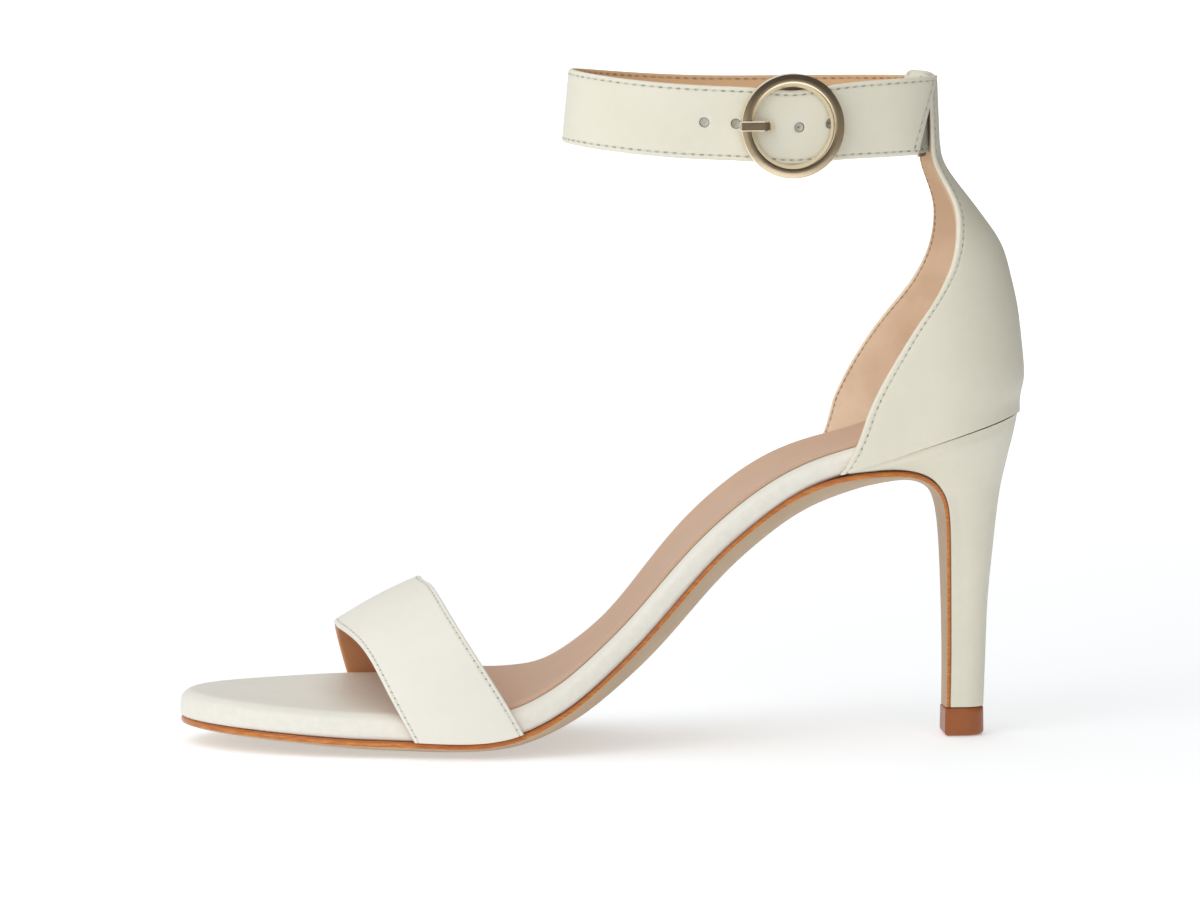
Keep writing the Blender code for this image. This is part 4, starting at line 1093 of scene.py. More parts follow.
def half_curve(front_x, back_x, half):
    """Return half a rib's plan, front to back: a straight wall, then a round back."""
    depth = back_x - front_x
    if depth >= half:
        turn = np.linspace(0, math.pi / 2, 60)
        arc = np.stack([back_x - half + half * np.sin(turn), half * np.cos(turn)], axis=1)
        return np.concatenate([[[front_x, half]], arc])
    radius = (half ** 2 + depth ** 2) / (2 * depth)
    turn = np.linspace(math.asin(half / radius), 0, 60)
    return np.stack([back_x - radius * (1 - np.cos(turn)), radius * np.sin(turn)], axis=1)


def rib_curve(rib):
    """Return a rib from its outer front round the back to its inner front, with heights."""
    sides = []
    for front_x, sign in ((rib.front_x, -1), (rib.front_x - rib.lead, 1)):
        plan = half_curve(front_x, rib.back_x, rib.half) * (1, sign)
        climb = (plan[:, 0] - front_x) / (rib.back_x - front_x)
        z = rib.front_z + (rib.back_z - rib.front_z) * climb
        sides.append(np.column_stack([plan, z]))
    return np.concatenate([sides[0], sides[1][::-1][1:]])


def counter_grid(board):
    """Return the counter's outer face as a grid, ribs from the seat up to the loop."""
    knots = np.arange(len(COUNTER))
    columns = {name: spline(knots, column_of(COUNTER, name)) for name in Rib._fields}
    lines = []
    for t in np.linspace(0, knots[-1], COUNTER_ROWS):
        rib = Rib(*(float(columns[name](t)) for name in Rib._fields))
        upper = resample(rib_curve(rib), COUNTER_POINTS)
        inner_x = rib.front_x - rib.lead
        plan = heel_outline(board, rib.front_x, inner_x, COUNTER_SIDE, COUNTER_POINTS)
        rise = rib.back_z - COUNTER[0].back_z
        edge = board.place(board.at_x(plan[:, 0]), plan[:, 1], 0.0, 0.0)
        gap = SEAT_GAP * smooth(plan[:, 0], *SEAT_GAP_REACH)
        lower = np.column_stack([plan, edge[:, 2] + rise + gap])
        blend = float(smooth(rise, *COUNTER_BLEND))
        lines.append(lower + (upper - lower) * blend)
    return np.array(lines)


def strap_oval(turn):
    """Return plan points and outward directions of the strap's oval at turns from the back."""
    power = 2 / STRAP_SQUARENESS
    cos, sin = np.cos(turn), np.sin(turn)
    x = STRAP_CENTRE_X + STRAP_LONG * np.sign(cos) * np.abs(cos) ** power
    y = STRAP_BROAD * np.sign(sin) * np.abs(sin) ** power
    rest = 2 - power
    out_x = np.sign(cos) * np.abs(cos) ** rest / STRAP_LONG
    out_y = np.sign(sin) * np.abs(sin) ** rest / STRAP_BROAD
    size = np.hypot(out_x, out_y)
    return np.stack([x, y], axis=-1), np.stack([out_x / size, out_y / size], axis=-1)


class StrapLine:
    """The strap's oval measured by its own length from the back, inner side first."""

    def __init__(self):
        turn = np.linspace(-math.pi, 2 * math.pi, 6001)
        points, _ = strap_oval(turn)
        along = lengths(points)
        self.along = along - np.interp(0, turn, along)
        self.turn = turn
        self.round_length = float(np.interp(2 * math.pi, turn, self.along))

    def frame(self, s):
        """Return plan points and outward directions at lengths s."""
        return strap_oval(np.interp(s, self.along, self.turn))

    def at_outer_x(self, x):
        """Return the length at a place x on the outer side, counted back from the loop."""
        turn = np.linspace(-math.pi / 2 - 0.9, 0, 3000)
        points, _ = strap_oval(turn)
        return float(np.interp(np.interp(x, points[:, 0], turn), self.turn, self.along))


def strap_height(x):
    """Return the height of the strap's middle at a place x."""
    u = (x - STRAP_CENTRE_X) / STRAP_LONG
    return STRAP_Z + np.where(u < 0, STRAP_FRONT_RISE, STRAP_BACK_RISE) * u * u


def strap_lean(x):
    """Return how far the strap leans in per length up."""
    u = (x - STRAP_CENTRE_X) / STRAP_LONG
    return STRAP_LEAN + STRAP_FRONT_LEAN * np.clip(-u, 0, 1) ** 2


def ring_dip(s, ring_s):
    """Return how much lower the strap hangs at lengths s, near the ring at ring_s."""
    return RING_DIP * np.exp(-((s - ring_s - RING_DIP_PLACE) / RING_DIP_REACH) ** 2)


class BuckleFrame:
    """The buckle's own frame: along the strap toward the heel, out from the ankle, up."""

    def __init__(self, line):
        s = line.at_outer_x(BUCKLE_X)
        point, out = line.frame(np.array(s))
        lean = float(strap_lean(point[0]))
        self.s = s
        self.origin = np.array([point[0], point[1], float(strap_height(point[0])) - BUCKLE_DROP])
        self.out = np.array([out[0], out[1], lean]) / math.hypot(1, lean)
        self.along = np.array([-out[1], out[0], 0.0])
        self.up = np.cross(self.out, self.along) * -1

    def point(self, along, out, up):
        """Return the shoe-frame points for places in this frame."""
        parts = np.broadcast_arrays(*(np.asarray(v, float) for v in (along, out, up)))
        a, o, u = (part[..., None] for part in parts)
        return self.origin + a * self.along + o * self.out + u * self.up


def strap_route(line, buckle, step):
    """Return the strap's plan middle line, outward directions and stations, short end to tail."""
    centre, out = line.frame(np.array(buckle.s))
    along = np.array([-out[1], out[0]])

    def local(a, o):
        return centre + np.outer(a, along) + np.outer(o, out)

    a = np.linspace(FOLD_LENGTH, -FOLD_BLEND[1], 16)
    o = FOLD_REST + (BAR_OUT - FOLD_RADIUS - FOLD_REST) * smooth(-a, *FOLD_BLEND)
    fold = local(a, o)
    turn = np.linspace(-math.pi / 2, math.pi / 2, 25)
    wrap = local(-FOLD_RADIUS * np.cos(turn), BAR_OUT + FOLD_RADIUS * np.sin(turn))
    tail_stop = line.round_length - TAIL_END
    ring_s = line.round_length + buckle.s
    hole_s = ring_s + PRONG_HOLE_ALONG
    before = math.floor((hole_s - buckle.s - 1.6) / step)
    after = math.floor((tail_stop - hole_s) / step)
    s = hole_s + step * np.arange(-before, after + 1)
    if tail_stop - s[-1] > 0.2 * step:
        s = np.append(s, tail_stop)
    points, outs = line.frame(s)
    short_end = SHORT_END_OFFSET * (1 - smooth(s, *SHORT_END_BLEND))
    tail = TAIL_OFFSET * smooth(s - ring_s, *TAIL_BLEND)
    tail = tail + (TAIL_LIFT - TAIL_OFFSET) * smooth(s, tail_stop - TAIL_LIFT_REACH, tail_stop)
    main = points + (short_end + tail)[:, None] * outs
    fixed = np.tile(out, (len(fold) + len(wrap), 1))
    return np.concatenate([fold, wrap, main]), np.concatenate([fixed, outs]), s


def strap_grid(line, buckle, step, tail_rise):
    """Return the strap's middle surface, top edge first, its stations and where they start."""
    plan, outs, s = strap_route(line, buckle, step)
    along = unit(np.gradient(plan, axis=0))
    before = len(plan) - len(s)
    fold = np.zeros(before)
    skew = np.concatenate([fold, smooth(s, s[-1] - TAIL_SKEW_REACH, s[-1])])
    rise = np.concatenate([fold, tail_rise * smooth(s, s[-1] - TAIL_RISE_REACH, s[-1])])
    z = strap_height(plan[:, 0])
    lean = strap_lean(plan[:, 0])
    z[:before] = strap_height(BUCKLE_X)
    z[before:] -= ring_dip(s, line.round_length + buckle.s)
    lean[:before] = strap_lean(BUCKLE_X)
    lines = []
    for share in np.linspace(1, -1, STRAP_COLUMNS):
        up = share * STRAP_HALF
        centre = plan - (lean * up)[:, None] * outs
        centre = centre + (skew * share * TAIL_SKEW)[:, None] * along
        lines.append(np.column_stack([centre, z + up + rise * (1 + share) / 2]))
    return np.array(lines).transpose(1, 0, 2), s, before


def vamp_grid(board):
    """Return the toe strap's outer face: rows over the arch, columns from front to rear."""
    power = 2 / VAMP_SQUARENESS
    arch = np.linspace(0, math.pi, VAMP_POINTS)
    climb = np.sin(arch) ** power
    reach = np.abs(np.cos(arch)) ** power
    away = np.abs(1 - arch / (math.pi / 2))
    outer = arch <= math.pi / 2
    sweep = np.where(outer, (climb + 1 - away ** VAMP_SWEEP) / 2, 1 - away ** 2)
    front_curve = outer * VAMP_FRONT_CURVE * np.sin(math.pi * away ** 0.7) ** 2
    wave = np.sin(2 * math.pi * away ** 0.6)
    rear_curve = outer * VAMP_REAR_CURVE * wave * smooth(away, 0.0, 0.12)
    lines = []
    for v in np.linspace(0, 1, VAMP_ROWS):
        edge = VampEdge(*(a + (b - a) * v for a, b in zip(VAMP_FRONT, VAMP_REAR)))
        ridge_z = edge.ridge_z + VAMP_BOW * 4 * v * (1 - v)
        curve = front_curve + (rear_curve - front_curve) * v
        line = []
        for i, outer_side in enumerate(outer):
            base_x = edge.outer_x if outer_side else edge.inner_x
            s = float(board.at_x(base_x))
            width = float(board.half(s) * board.roundness(s)) + VAMP_SIDE_GAP + VAMP_THICK
            base_y = float(board.centre(s)) + (-width if outer_side else width)
            base_z = float(board.place(s, base_y, 0.0, 0.0)[2] - join_drop(base_x))
            line.append((
                base_x + (edge.ridge_x - base_x) * (sweep[i] - curve[i]),
                VAMP_RIDGE_Y + (base_y - VAMP_RIDGE_Y) * reach[i],
                base_z + (ridge_z - base_z) * climb[i],
            ))
        lines.append(line)
    return np.array([resample(line, VAMP_POINTS * 2) for line in lines]).transpose(1, 0, 2)


def loft(skin, rings, closed=False):
    """Join rings of points into a body, capped at both ends or closed into a ring."""
    numbers = [skin.add(ring) for ring in rings]
    for a, b in zip(numbers, numbers[1:]):
        skin.strip(a, b, closed=True)
    if closed:
        skin.strip(numbers[-1], numbers[0], closed=True)
    else:
        skin.face(numbers[0][::-1])
        skin.face(numbers[-1])


def colour_property(name, description, default):
    """Return a colour property."""
    return FloatVectorProperty(
        name=name, description=description,
        subtype="COLOR", size=3, min=0.0, max=1.0, default=default)


class SandalColours(PropertyGroup):
    """Colours of the sandal's finishes."""

    cream: colour_property(
        "Cream leather", "Colour of the toe strap and the board's wrap", (0.84, 0.815, 0.73))
    cream_shade: colour_property(
        "Cream shade", "Darker tone in the cream leather's mottling", (0.805, 0.78, 0.69))
    warm: colour_property(
        "Warm cream", "Colour of the counter, the heel cover and the ankle strap",
        (0.77, 0.74, 0.62))
    warm_shade: colour_property(
        "Warm shade", "Darker tone in the warm cream's mottling", (0.73, 0.70, 0.575))
    lining: colour_property(
        "Lining", "Colour of the counter's and ankle strap's lining", (0.94, 0.75, 0.57))
    lining_shade: colour_property("Lining shade", "Darker tone in the lining", (0.62, 0.42, 0.26))
    toe_lining: colour_property(
        "Toe strap lining", "Colour of the toe strap's lining", (0.70, 0.34, 0.165))
    sock: colour_property("Sock", "Colour of the sock on the footbed", (0.62, 0.415, 0.285))
    sock_shade: colour_property("Sock shade", "Darker tone in the sock", (0.56, 0.365, 0.245))
    edge: colour_property("Sole edge", "Colour of the painted sole edge", (0.46, 0.125, 0.014))
    edge_light: colour_property(
        "Edge streaks", "Lighter streaks in the painted edge", (0.68, 0.26, 0.042))
    under: colour_property("Underside", "Colour of the sole's underside", (0.55, 0.40, 0.26))
    tip: colour_property("Heel tip", "Colour of the heel tip", (0.36, 0.105, 0.024))
    metal: colour_property("Buckle", "Colour of the buckle's plating", (0.95, 0.83, 0.645))
    thread: colour_property("Thread", "Colour of the sewing thread", (0.70, 0.67, 0.55))


class SandalSizes(PropertyGroup):
    """Sizes of the sandal's small details."""

    thread_width: FloatProperty(
        name="Thread", description="Width of a stitch",
        unit="LENGTH", precision=5, min=0.0, default=0.00052)
    hole_width: FloatProperty(
        name="Strap holes", description="Width of the ankle strap's round holes",
        unit="LENGTH", precision=5, min=0.001, max=0.003, default=0.0026)
    tail_rise: FloatProperty(
        name="Tail rise", description="How far the strap's tail stands up at its end",
        unit="LENGTH", precision=5, min=0.0, max=0.003, default=0.0013)
    sock_thick: FloatProperty(
        name="Sock thickness", description="Thickness of the sock on the footbed",
        unit="LENGTH", precision=5, min=0.0004, max=0.002, default=0.0008)
    tip_round: FloatProperty(
        name="Tip corners", description="Radius of the heel tip's lower corners",
        unit="LENGTH", precision=5, min=0.0001, max=0.003, default=0.0012)
    ring_bevel: FloatProperty(
        name="Ring bevel", description="Width of the bevel inside the buckle's ring",
        unit="LENGTH", precision=5, min=0.0003, max=0.002, default=0.00095)


class SandalStage(PropertyGroup):
    """Light and floor of the studio."""

    key_power: FloatProperty(
        name="Key light", description="Power of the large light at the toe's side",
        subtype="POWER", min=0.0, default=7.0)
    fill_power: FloatProperty(
        name="Fill light", description="Power of the soft light in front of the shoe",
        subtype="POWER", min=0.0, default=4.0)
    floor_colour: colour_property("Floor", "Colour of the floor", (0.84, 0.85, 0.865))
    floor_glow: FloatProperty(
        name="Floor glow", description="Light of the floor's own, as from a lit table",
        min=0.0, default=0.38)
    far_glow: FloatProperty(
        name="Far glow", description="Light of the floor's own far behind the shoe",
        min=0.0, default=0.60)
    side_strength: FloatProperty(
        name="Side light", description="Strength of the room's light from the sides",
        min=0.0, default=0.50)
    top_strength: FloatProperty(
        name="Top light", description="Strength of the room's light from straight above",
        min=0.0, default=1.02)


BOARD_SHEET = board_sheet()
STRAP_LINE = StrapLine()
BUCKLE = BuckleFrame(STRAP_LINE)


class SANDAL_OT_sole(Operator):
    """Make the outsole with its painted edge, the wrapped board and the sock"""

    bl_idname = "sandal.sole"
    bl_label = "Sole, board and sock"

    def execute(self, context):
        colours = context.scene.sandal_colours
        self.outsole(colours)
        self.board(colours)
        self.sock(colours, context.scene.sandal_sizes.sock_thick / MM)
        return {"FINISHED"}

    def outsole(self, colours):
        """Make the outsole and its breast flap."""
        sole, sag, thick = outsole_sheet(BOARD_SHEET)
        nose = nose_spacing()
        s = np.concatenate([nose[:-1], np.linspace(nose[-1], sole.length, SOLE_ROWS)])
        depth = thick(s)
        cup, belly = sole.hollow(s), sag(s)
        drop = join_drop(sole.x(s))
        levels = [
            (0.75, -depth, belly, UNDER_BANK),
            (0.3, -0.95 * depth, belly, UNDER_BANK),
            (0.06, -0.82 * depth, belly, UNDER_BANK),
            (0.0, -0.58 * depth, belly, UNDER_BANK),
            (0.05, -0.16 * depth - 0.8 * drop, cup, UNDER_BANK),
            (0.2, JOIN_LIFT - drop, cup, UNDER_BANK),
        ]
        skin = Skin()
        pad(skin, sole, s, levels, 24, (1, 1, 0, 0, 2))
        dark = toned(colours.edge, 0.55)
        edge = painted_edge("edge_paint", colours.edge, colours.edge_light, dark)
        under = sole_leather("sole_underside", colours.under, toned(colours.under, 0.8))
        line = painted_edge("edge_line", toned(colours.edge, 0.75), colours.edge, dark)
        skin.build("outsole_leather", [edge, under, line], ("outsole",))

    def board(self, colours):
        """Make the wrapped board: a rolled side wall round a dished top."""
        s = row_spacing(BOARD_SHEET.length)
        cup = BOARD_SHEET.hollow(s)
        dish = BOARD_SHEET.column(column_of(BOARD, "dish"))(s)
        drop = join_drop(BOARD_SHEET.x(s))
        levels = []
        for inset, height in BOARD_PROFILE:
            banked = UNDER_BANK + (1 - UNDER_BANK) * height / BOARD_THICK
            hollow = cup if height < 0.5 * BOARD_THICK else dish
            lower = drop if height < 0.5 else 0 * s
            levels.append((inset, height - lower, hollow, banked))
        skin = Skin()
        pad(skin, BOARD_SHEET, s, levels, 20, [0] * (len(levels) - 1))
        # Painted shade: the board's wrap is the toe strap's cream made 5 % darker, against the
        # bright light thrown onto its nose from the floor
        cream, shade = toned(colours.cream, 0.95), toned(colours.cream_shade, 0.95)
        wrap = leather("board_wrap_leather", cream, shade)
        skin.build("board_wrap", [wrap], ("insole_board",))

    def sock(self, colours, thick):
        """Make the sock, from under the toe strap to the heel."""
        s = row_spacing(BOARD_SHEET.length)
        dish = BOARD_SHEET.column(column_of(BOARD, "dish"))
        covered = BOARD_SHEET.x(s) >= SOCK_FRONT_X
        profile = [(0.0, -SOCK_SINK), (0.0, 0.4 * thick), (0.08, 0.8 * thick), (0.3, thick)]
        skin = Skin()
        rings = []
        for inset, height in profile:
            near, far = BOARD_SHEET.outline(s, -SOCK_INSET - inset)
            near, far, t = near[covered], far[covered], s[covered]
            lines = []
            for share in np.linspace(0, 1, 25):
                mid = near + (far - near) * share
                tall = BOARD_THICK + GAP + height + 0 * t
                points = BOARD_SHEET.place(mid[:, 0], mid[:, 1], tall, dish(t), 1.0)
                reach = np.minimum(share, 1 - share) * np.abs(far - near)[:, 1] + inset
                lines.append(skin.add(points, np.stack([t, reach, 0 * t], axis=1)))
            rings.append(np.array(lines))
        skin.grid(rings[0], flip=True)
        skin.grid(rings[-1])
        loops = []
        for ring in rings:
            sides = [ring[0], ring[1:-1, -1], ring[-1][::-1], ring[1:-1, 0][::-1]]
            loops.append(np.concatenate(sides))
        for a, b in zip(loops, loops[1:]):
            skin.strip(a, b, closed=True)
        finish = lining("sock_leather", colours.sock, colours.sock_shade)
        skin.build("sock_lining", [finish], ("sock",))


class SANDAL_OT_heel(Operator):
    """Make the covered heel and its tip"""

    bl_idname = "sandal.heel"
    bl_label = "Heel and tip"

    def execute(self, context):
        colours = context.scene.sandal_colours
        self.cover(colours)
        self.tip(colours, context.scene.sandal_sizes.tip_round / MM)
        return {"FINISHED"}

    def cover(self, colours):
        """Make the heel cover, lofted from its cupped seat to the tip."""
        sole = outsole_sheet(BOARD_SHEET)[0]
        plan = heel_outline(BOARD_SHEET, HEEL_LIP_X, HEEL_LIP_X, HEEL_SIDE, HEEL_POINTS)
        seat_z = BOARD_SHEET.z(BOARD_SHEET.at_x(plan[:, 0])) - HEEL_SINK
        seat = np.column_stack([plan, seat_z])
        knots = np.arange(len(HEEL))
        table = {name: spline(knots, column_of(HEEL, name)) for name in HeelSection._fields}
        walk = np.linspace(0, sole.length, 2000)
        rings = []
        hollows = []
        for t in np.linspace(0, knots[-1], HEEL_ROWS):
            row = HeelSection(*(float(table[name](t)) for name in HeelSection._fields))
            front = np.array([row.front_x, row.front_z])
            back = np.array([row.back_x, row.back_z])
            chord = np.linalg.norm(back - front)
            shape = d_section(row.front_half, row.half, chord, HEEL_POINTS)
            share = shape[:, 0] / chord
            side = front + share[:, None] * (back - front)
            away = np.hypot(sole.x(walk) - row.front_x, sole.z(walk) - row.front_z)
            best = walk[np.argmin(away)]
            shift = float(sole.centre(best)) * (1 - share)
            rings.append(np.stack([side[:, 0], shape[:, 1] + shift, side[:, 1]], axis=1))
            dx = sole.x(best + 0.1) - sole.x(best - 0.1)
            dz = sole.z(best + 0.1) - sole.z(best - 0.1)
            hollows.append(np.array([dz, 0.0, -dx]) / np.hypot(dx, dz) * float(sole.hollow(best)))
        lip_hollow = float(BOARD_SHEET.hollow(BOARD_SHEET.at_x(seat[0, 0])))
        seat_hollow = np.array([0.0, 0.0, -lip_hollow])
        rings = [seat + (rings[0] - seat) * t for t in SEAT_STEPS] + rings
        hollows = [seat_hollow + (hollows[0] - seat_hollow) * t for t in SEAT_STEPS] + hollows
        skin = Skin()
        numbers = [skin.add(ring) for ring in rings]
        for a, b in zip(numbers, numbers[1:]):
            skin.strip(a, b)
        shares = np.linspace(0, 1, HEEL_COLUMNS + 1)[1:-1, None]

        def across(first, last, ends, hollow):
            inner = first + (last - first) * shares + hollow * (1 - (2 * shares - 1) ** 2)
            return np.concatenate([[ends[0]], skin.add(inner), [ends[1]]])

        fronts = []
        for ring, line, hollow in zip(rings, numbers, hollows):
            fronts.append(across(ring[0], ring[-1], (line[0], line[-1]), hollow))
        skin.grid(np.array(fronts), flip=True)
        half_count = HEEL_POINTS // 2
        lines = [fronts[0]]
        for i in range(1, half_count):
            a, b = seat[i], seat[-1 - i]
            s = float(BOARD_SHEET.at_x(min(a[0], b[0])))
            depth = float(BOARD_SHEET.hollow(s) * BOARD_SHEET.roundness(s) ** 2)
            ends = (numbers[0][i], numbers[0][-1 - i])
            lines.append(across(a, b, ends, np.array([0.0, 0.0, -depth])))
        skin.grid(np.array(lines), 1)
        for a, b in zip(lines[-1], lines[-1][1:]):
            skin.face((a, b, numbers[0][half_count]), 1)
        skin.face(list(numbers[-1]) + list(fronts[-1][1:-1][::-1]))
        finish = leather("heel_cover_leather", toned(colours.warm, 1.02), colours.warm_shade)
        # Painted shade: the heel's seat shows only through the gap under the counter, and is
        # painted dark brown for the shade in that gap
        dark = toned(colours.edge, 0.35)
        seat_painted_shade = painted_edge("seat_painted_shade", dark, colours.edge, dark)
        skin.build("heel_cover", [finish, seat_painted_shade], ("heel",))

    def tip(self, colours, corner):
        """Make the top piece: a D-shaped block with rounded lower corners."""
        chord = TIP_BACK_X - TIP_FRONT_X
        turn = np.linspace(0, math.pi / 2, 7)
        levels = [(corner * (1 - math.sin(t)), corner * (1 - math.cos(t))) for t in turn]
        levels += [(0.04, 3.5), (0.1, 6.2), (0.12, TIP_HEIGHT - 0.25), (0.4, TIP_HEIGHT)]
        rings = []
        for inset, z in levels:
            half = TIP_HALF - inset
            shape = d_section(half, half, chord - 2 * inset, 80)
            x = TIP_FRONT_X + inset + shape[:, 0]
            rings.append(np.stack([x, shape[:, 1], z + 0 * x], axis=1))
        skin = Skin()
        loft(skin, rings)
        finish = tip_plastic("tip_brown", colours.tip, toned(colours.tip, 0.75))
        skin.build("heel_tip_block", [finish], ("heel_tip",))


class SANDAL_OT_toe_strap(Operator):
    """Make the toe strap with its lining and seams"""

    bl_idname = "sandal.toe_strap"
    bl_label = "Toe strap"

    def execute(self, context):
        colours = context.scene.sandal_colours
        band = Band(vamp_grid(BOARD_SHEET), VAMP_THICK)
        skin = Skin()
        band.lay(skin, np.linspace(0.06, 0.94, 24))
        outer = leather("toe_strap_leather", colours.cream, colours.cream_shade, VAMP_SEAM)
        inner = lining("toe_strap_lining", colours.toe_lining, toned(colours.toe_lining, 0.8))
        skin.build("toe_strap", [outer, inner], ("vamp_strap",))
        stitches("toe_strap", context, VAMP_SEAM, band.seams(VAMP_SEAM.inset))
        return {"FINISHED"}


class SANDAL_OT_counter(Operator):
    """Make the counter with its folded loop, lining and seams"""

    bl_idname = "sandal.counter"
    bl_label = "Counter and loop"

    def execute(self, context):
        colours = context.scene.sandal_colours
        grid = counter_grid(BOARD_SHEET)
        loop = self.loop_rows()
        thick = np.repeat([COUNTER_THICK, LOOP_WALL], [len(grid), len(loop)])
        thick = np.convolve(np.pad(thick, 4, mode="edge"), np.ones(9) / 9, mode="valid")
        band = Band(np.concatenate([grid, loop]), thick)
        skin = Skin()
        band.lay(skin, np.linspace(0.05, 0.95, 70))
        outer = leather("counter_leather", colours.warm, colours.warm_shade, COUNTER_SEAM)
        shade = colours.lining_shade
        # Painted shade: the lining darkens towards the neck and turns near black in the loop
        neck_painted_shade = [(55.0, 92.0, shade), (98.0, 102.0, toned(shade, 0.3))]
        inner = lining("counter_lining", colours.lining, shade, COUNTER_SEAM, neck_painted_shade)
        skin.build("counter_upper", [outer, inner], ("counter",))
        below_loop = slice(4, len(grid) - 2)
        runs = band.seams(COUNTER_SEAM.inset, below_loop)
        stitches("counter", context, COUNTER_SEAM, runs)
        return {"FINISHED"}

    def loop_rows(self):
        """Return the loop's rows: up behind the strap, over its top and down inside."""
        half_thick = STRAP_THICK / 2 + LOOP_CLEAR + LOOP_WALL
        half_tall = STRAP_HALF + LOOP_END_CLEAR + LOOP_WALL
        shoulder = half_tall - half_thick
        rise = [(half_thick, up) for up in np.linspace(LOOP_FOOT, shoulder, 12)]
        turn = np.linspace(0, math.pi, 19)[1:-1]
        top = [(half_thick * math.cos(t), shoulder + half_thick * math.sin(t)) for t in turn]
        fall = [(-half_thick, up) for up in np.linspace(shoulder, LOOP_INNER_FOOT, 16)]
        s = np.linspace(-LOOP_REACH, LOOP_INNER_REACH, COUNTER_POINTS)
        plan, outs = STRAP_LINE.frame(s)
        z = strap_height(plan[:, 0])
        lean = strap_lean(plan[:, 0])
        rows = []
        for out, up in rise + top + fall:
            across = plan + outs * (out - lean * up)[:, None]
            rows.append(np.column_stack([across, z + up]))
        return np.array(rows)


class SANDAL_OT_ankle_strap(Operator):
    """Make the ankle strap with its holes, lining and seams"""

    bl_idname = "sandal.ankle_strap"
    bl_label = "Ankle strap"

    def execute(self, context):
        colours = context.scene.sandal_colours
        sizes = context.scene.sandal_sizes
        step = HOLE_PITCH / HOLE_ROWS
        grid, s, before = strap_grid(STRAP_LINE, BUCKLE, step, sizes.tail_rise / MM)
        band = Band(grid, STRAP_THICK, lift=STRAP_THICK / 2)
        across = STRAP_HALF + np.arange(-8.0, 9.0)
        middle = len(across) // 2
        skin = Skin()
        hole_s = STRAP_LINE.round_length + BUCKLE.s + PRONG_HOLE_ALONG
        skip = []
        for number in HOLES_FROM_PRONG:
            row = before + int(np.argmin(np.abs(s - hole_s - number * HOLE_PITCH)))
            skip.append((row - 2, row + 2, middle - 2, middle + 2))
        shares = across / (2 * STRAP_HALF)
        outer, inner = band.lay(skin, shares, skip=skip, tuck=TAIL_TUCK)
        for patch, number in zip(skip, HOLES_FROM_PRONG):
            width, narrower = sizes.hole_width / MM, HOLE_NARROWING
            if number == 0:
                width, narrower = PRONG_HOLE_WIDTH, 0.0
            self.hole(skin, outer, inner, patch, width, narrower)
        warm, shade, dark = colours.warm, colours.warm_shade, colours.lining_shade
        # Painted shade on the strap's short end: dark brown where it shows at the top of the ring,
        # taupe behind the tail
        first, turn, last = STRAP_PAINTED_SHADE
        painted_shade = [(first, turn, toned(dark, 0.28)), (turn, last, toned(shade, 0.52))]
        cream = leather("ankle_strap_leather", warm, shade, STRAP_SEAM, True, painted_shade)
        tan = [part * factor for part, factor in zip(dark, (1.12, 1.04, 0.92))]
        inside = lining("ankle_strap_lining", tan, dark, STRAP_SEAM)
        # The hole walls are near-black grey: the raw punched edge's colour and painted shade inside
        # the holes
        hole_wall_and_shade = sole_leather("punched_edge_and_painted_shade", [0.22, 0.21, 0.18], [0.06, 0.055, 0.045])
        fibre = sole_leather("hole_fibre", [0.80, 0.78, 0.70], [0.42, 0.40, 0.35])
        finishes = [cream, inside, hole_wall_and_shade, fibre]
        skin.build("ankle_strap_band", finishes, ("ankle_strap",))
        past_fold = slice(before + 6, -2)
        runs = band.seams(STRAP_SEAM.inset, past_fold) + [band.end_seam(slice(3, -3))]
        stitches("ankle_strap", context, STRAP_SEAM, runs)
        return {"FINISHED"}

    def hole(self, skin, outer, inner, patch, width, narrower):
        """Cut one round hole, narrower behind, into a patch left open in the band's two faces."""
        low, high, left, right = patch
        path = [(low, column) for column in range(left, right)]
        path += [(row, right) for row in range(low, high)]
        path += [(high, column) for column in range(right, left, -1)]
        path += [(row, left) for row in range(high, low, -1)]
        front = np.array([outer[spot] for spot in path])
        back = np.array([inner[spot] for spot in path])
        points = np.asarray(skin.points)
        centre = points[front].mean(axis=0)
        through = points[back].mean(axis=0) - centre
        along = unit(points[outer[high, left]] - points[outer[low, left]])
        across = unit(points[outer[low, right]] - points[outer[low, left]])
        spokes = points[front] - centre
        angle = np.arctan2(spokes @ across, spokes @ along)
        rings = [front]
        cut = np.asarray(skin.cut)[front].mean(axis=0)
        lips = [(0.15, 0.0), (0.06, 0.04), (0.0, 0.15), (-0.12, 0.4),
                (-narrower, 0.85), (0.1 - narrower, 1.0)]
        for wider, share in lips:
            size = width / 2 + wider
            reach = np.outer(size * np.cos(angle), along) + np.outer(size * np.sin(angle), across)
            rings.append(skin.add(centre + reach + through * share, cut))
        rings.append(back)
        # Finish 2 on the walls carries the painted shade inside each hole
        finishes = [0, 0, 2, 2, 3, 1, 1]
        for one, two, finish in zip(rings, rings[1:], finishes):
            skin.strip(two, one, finish, closed=True)


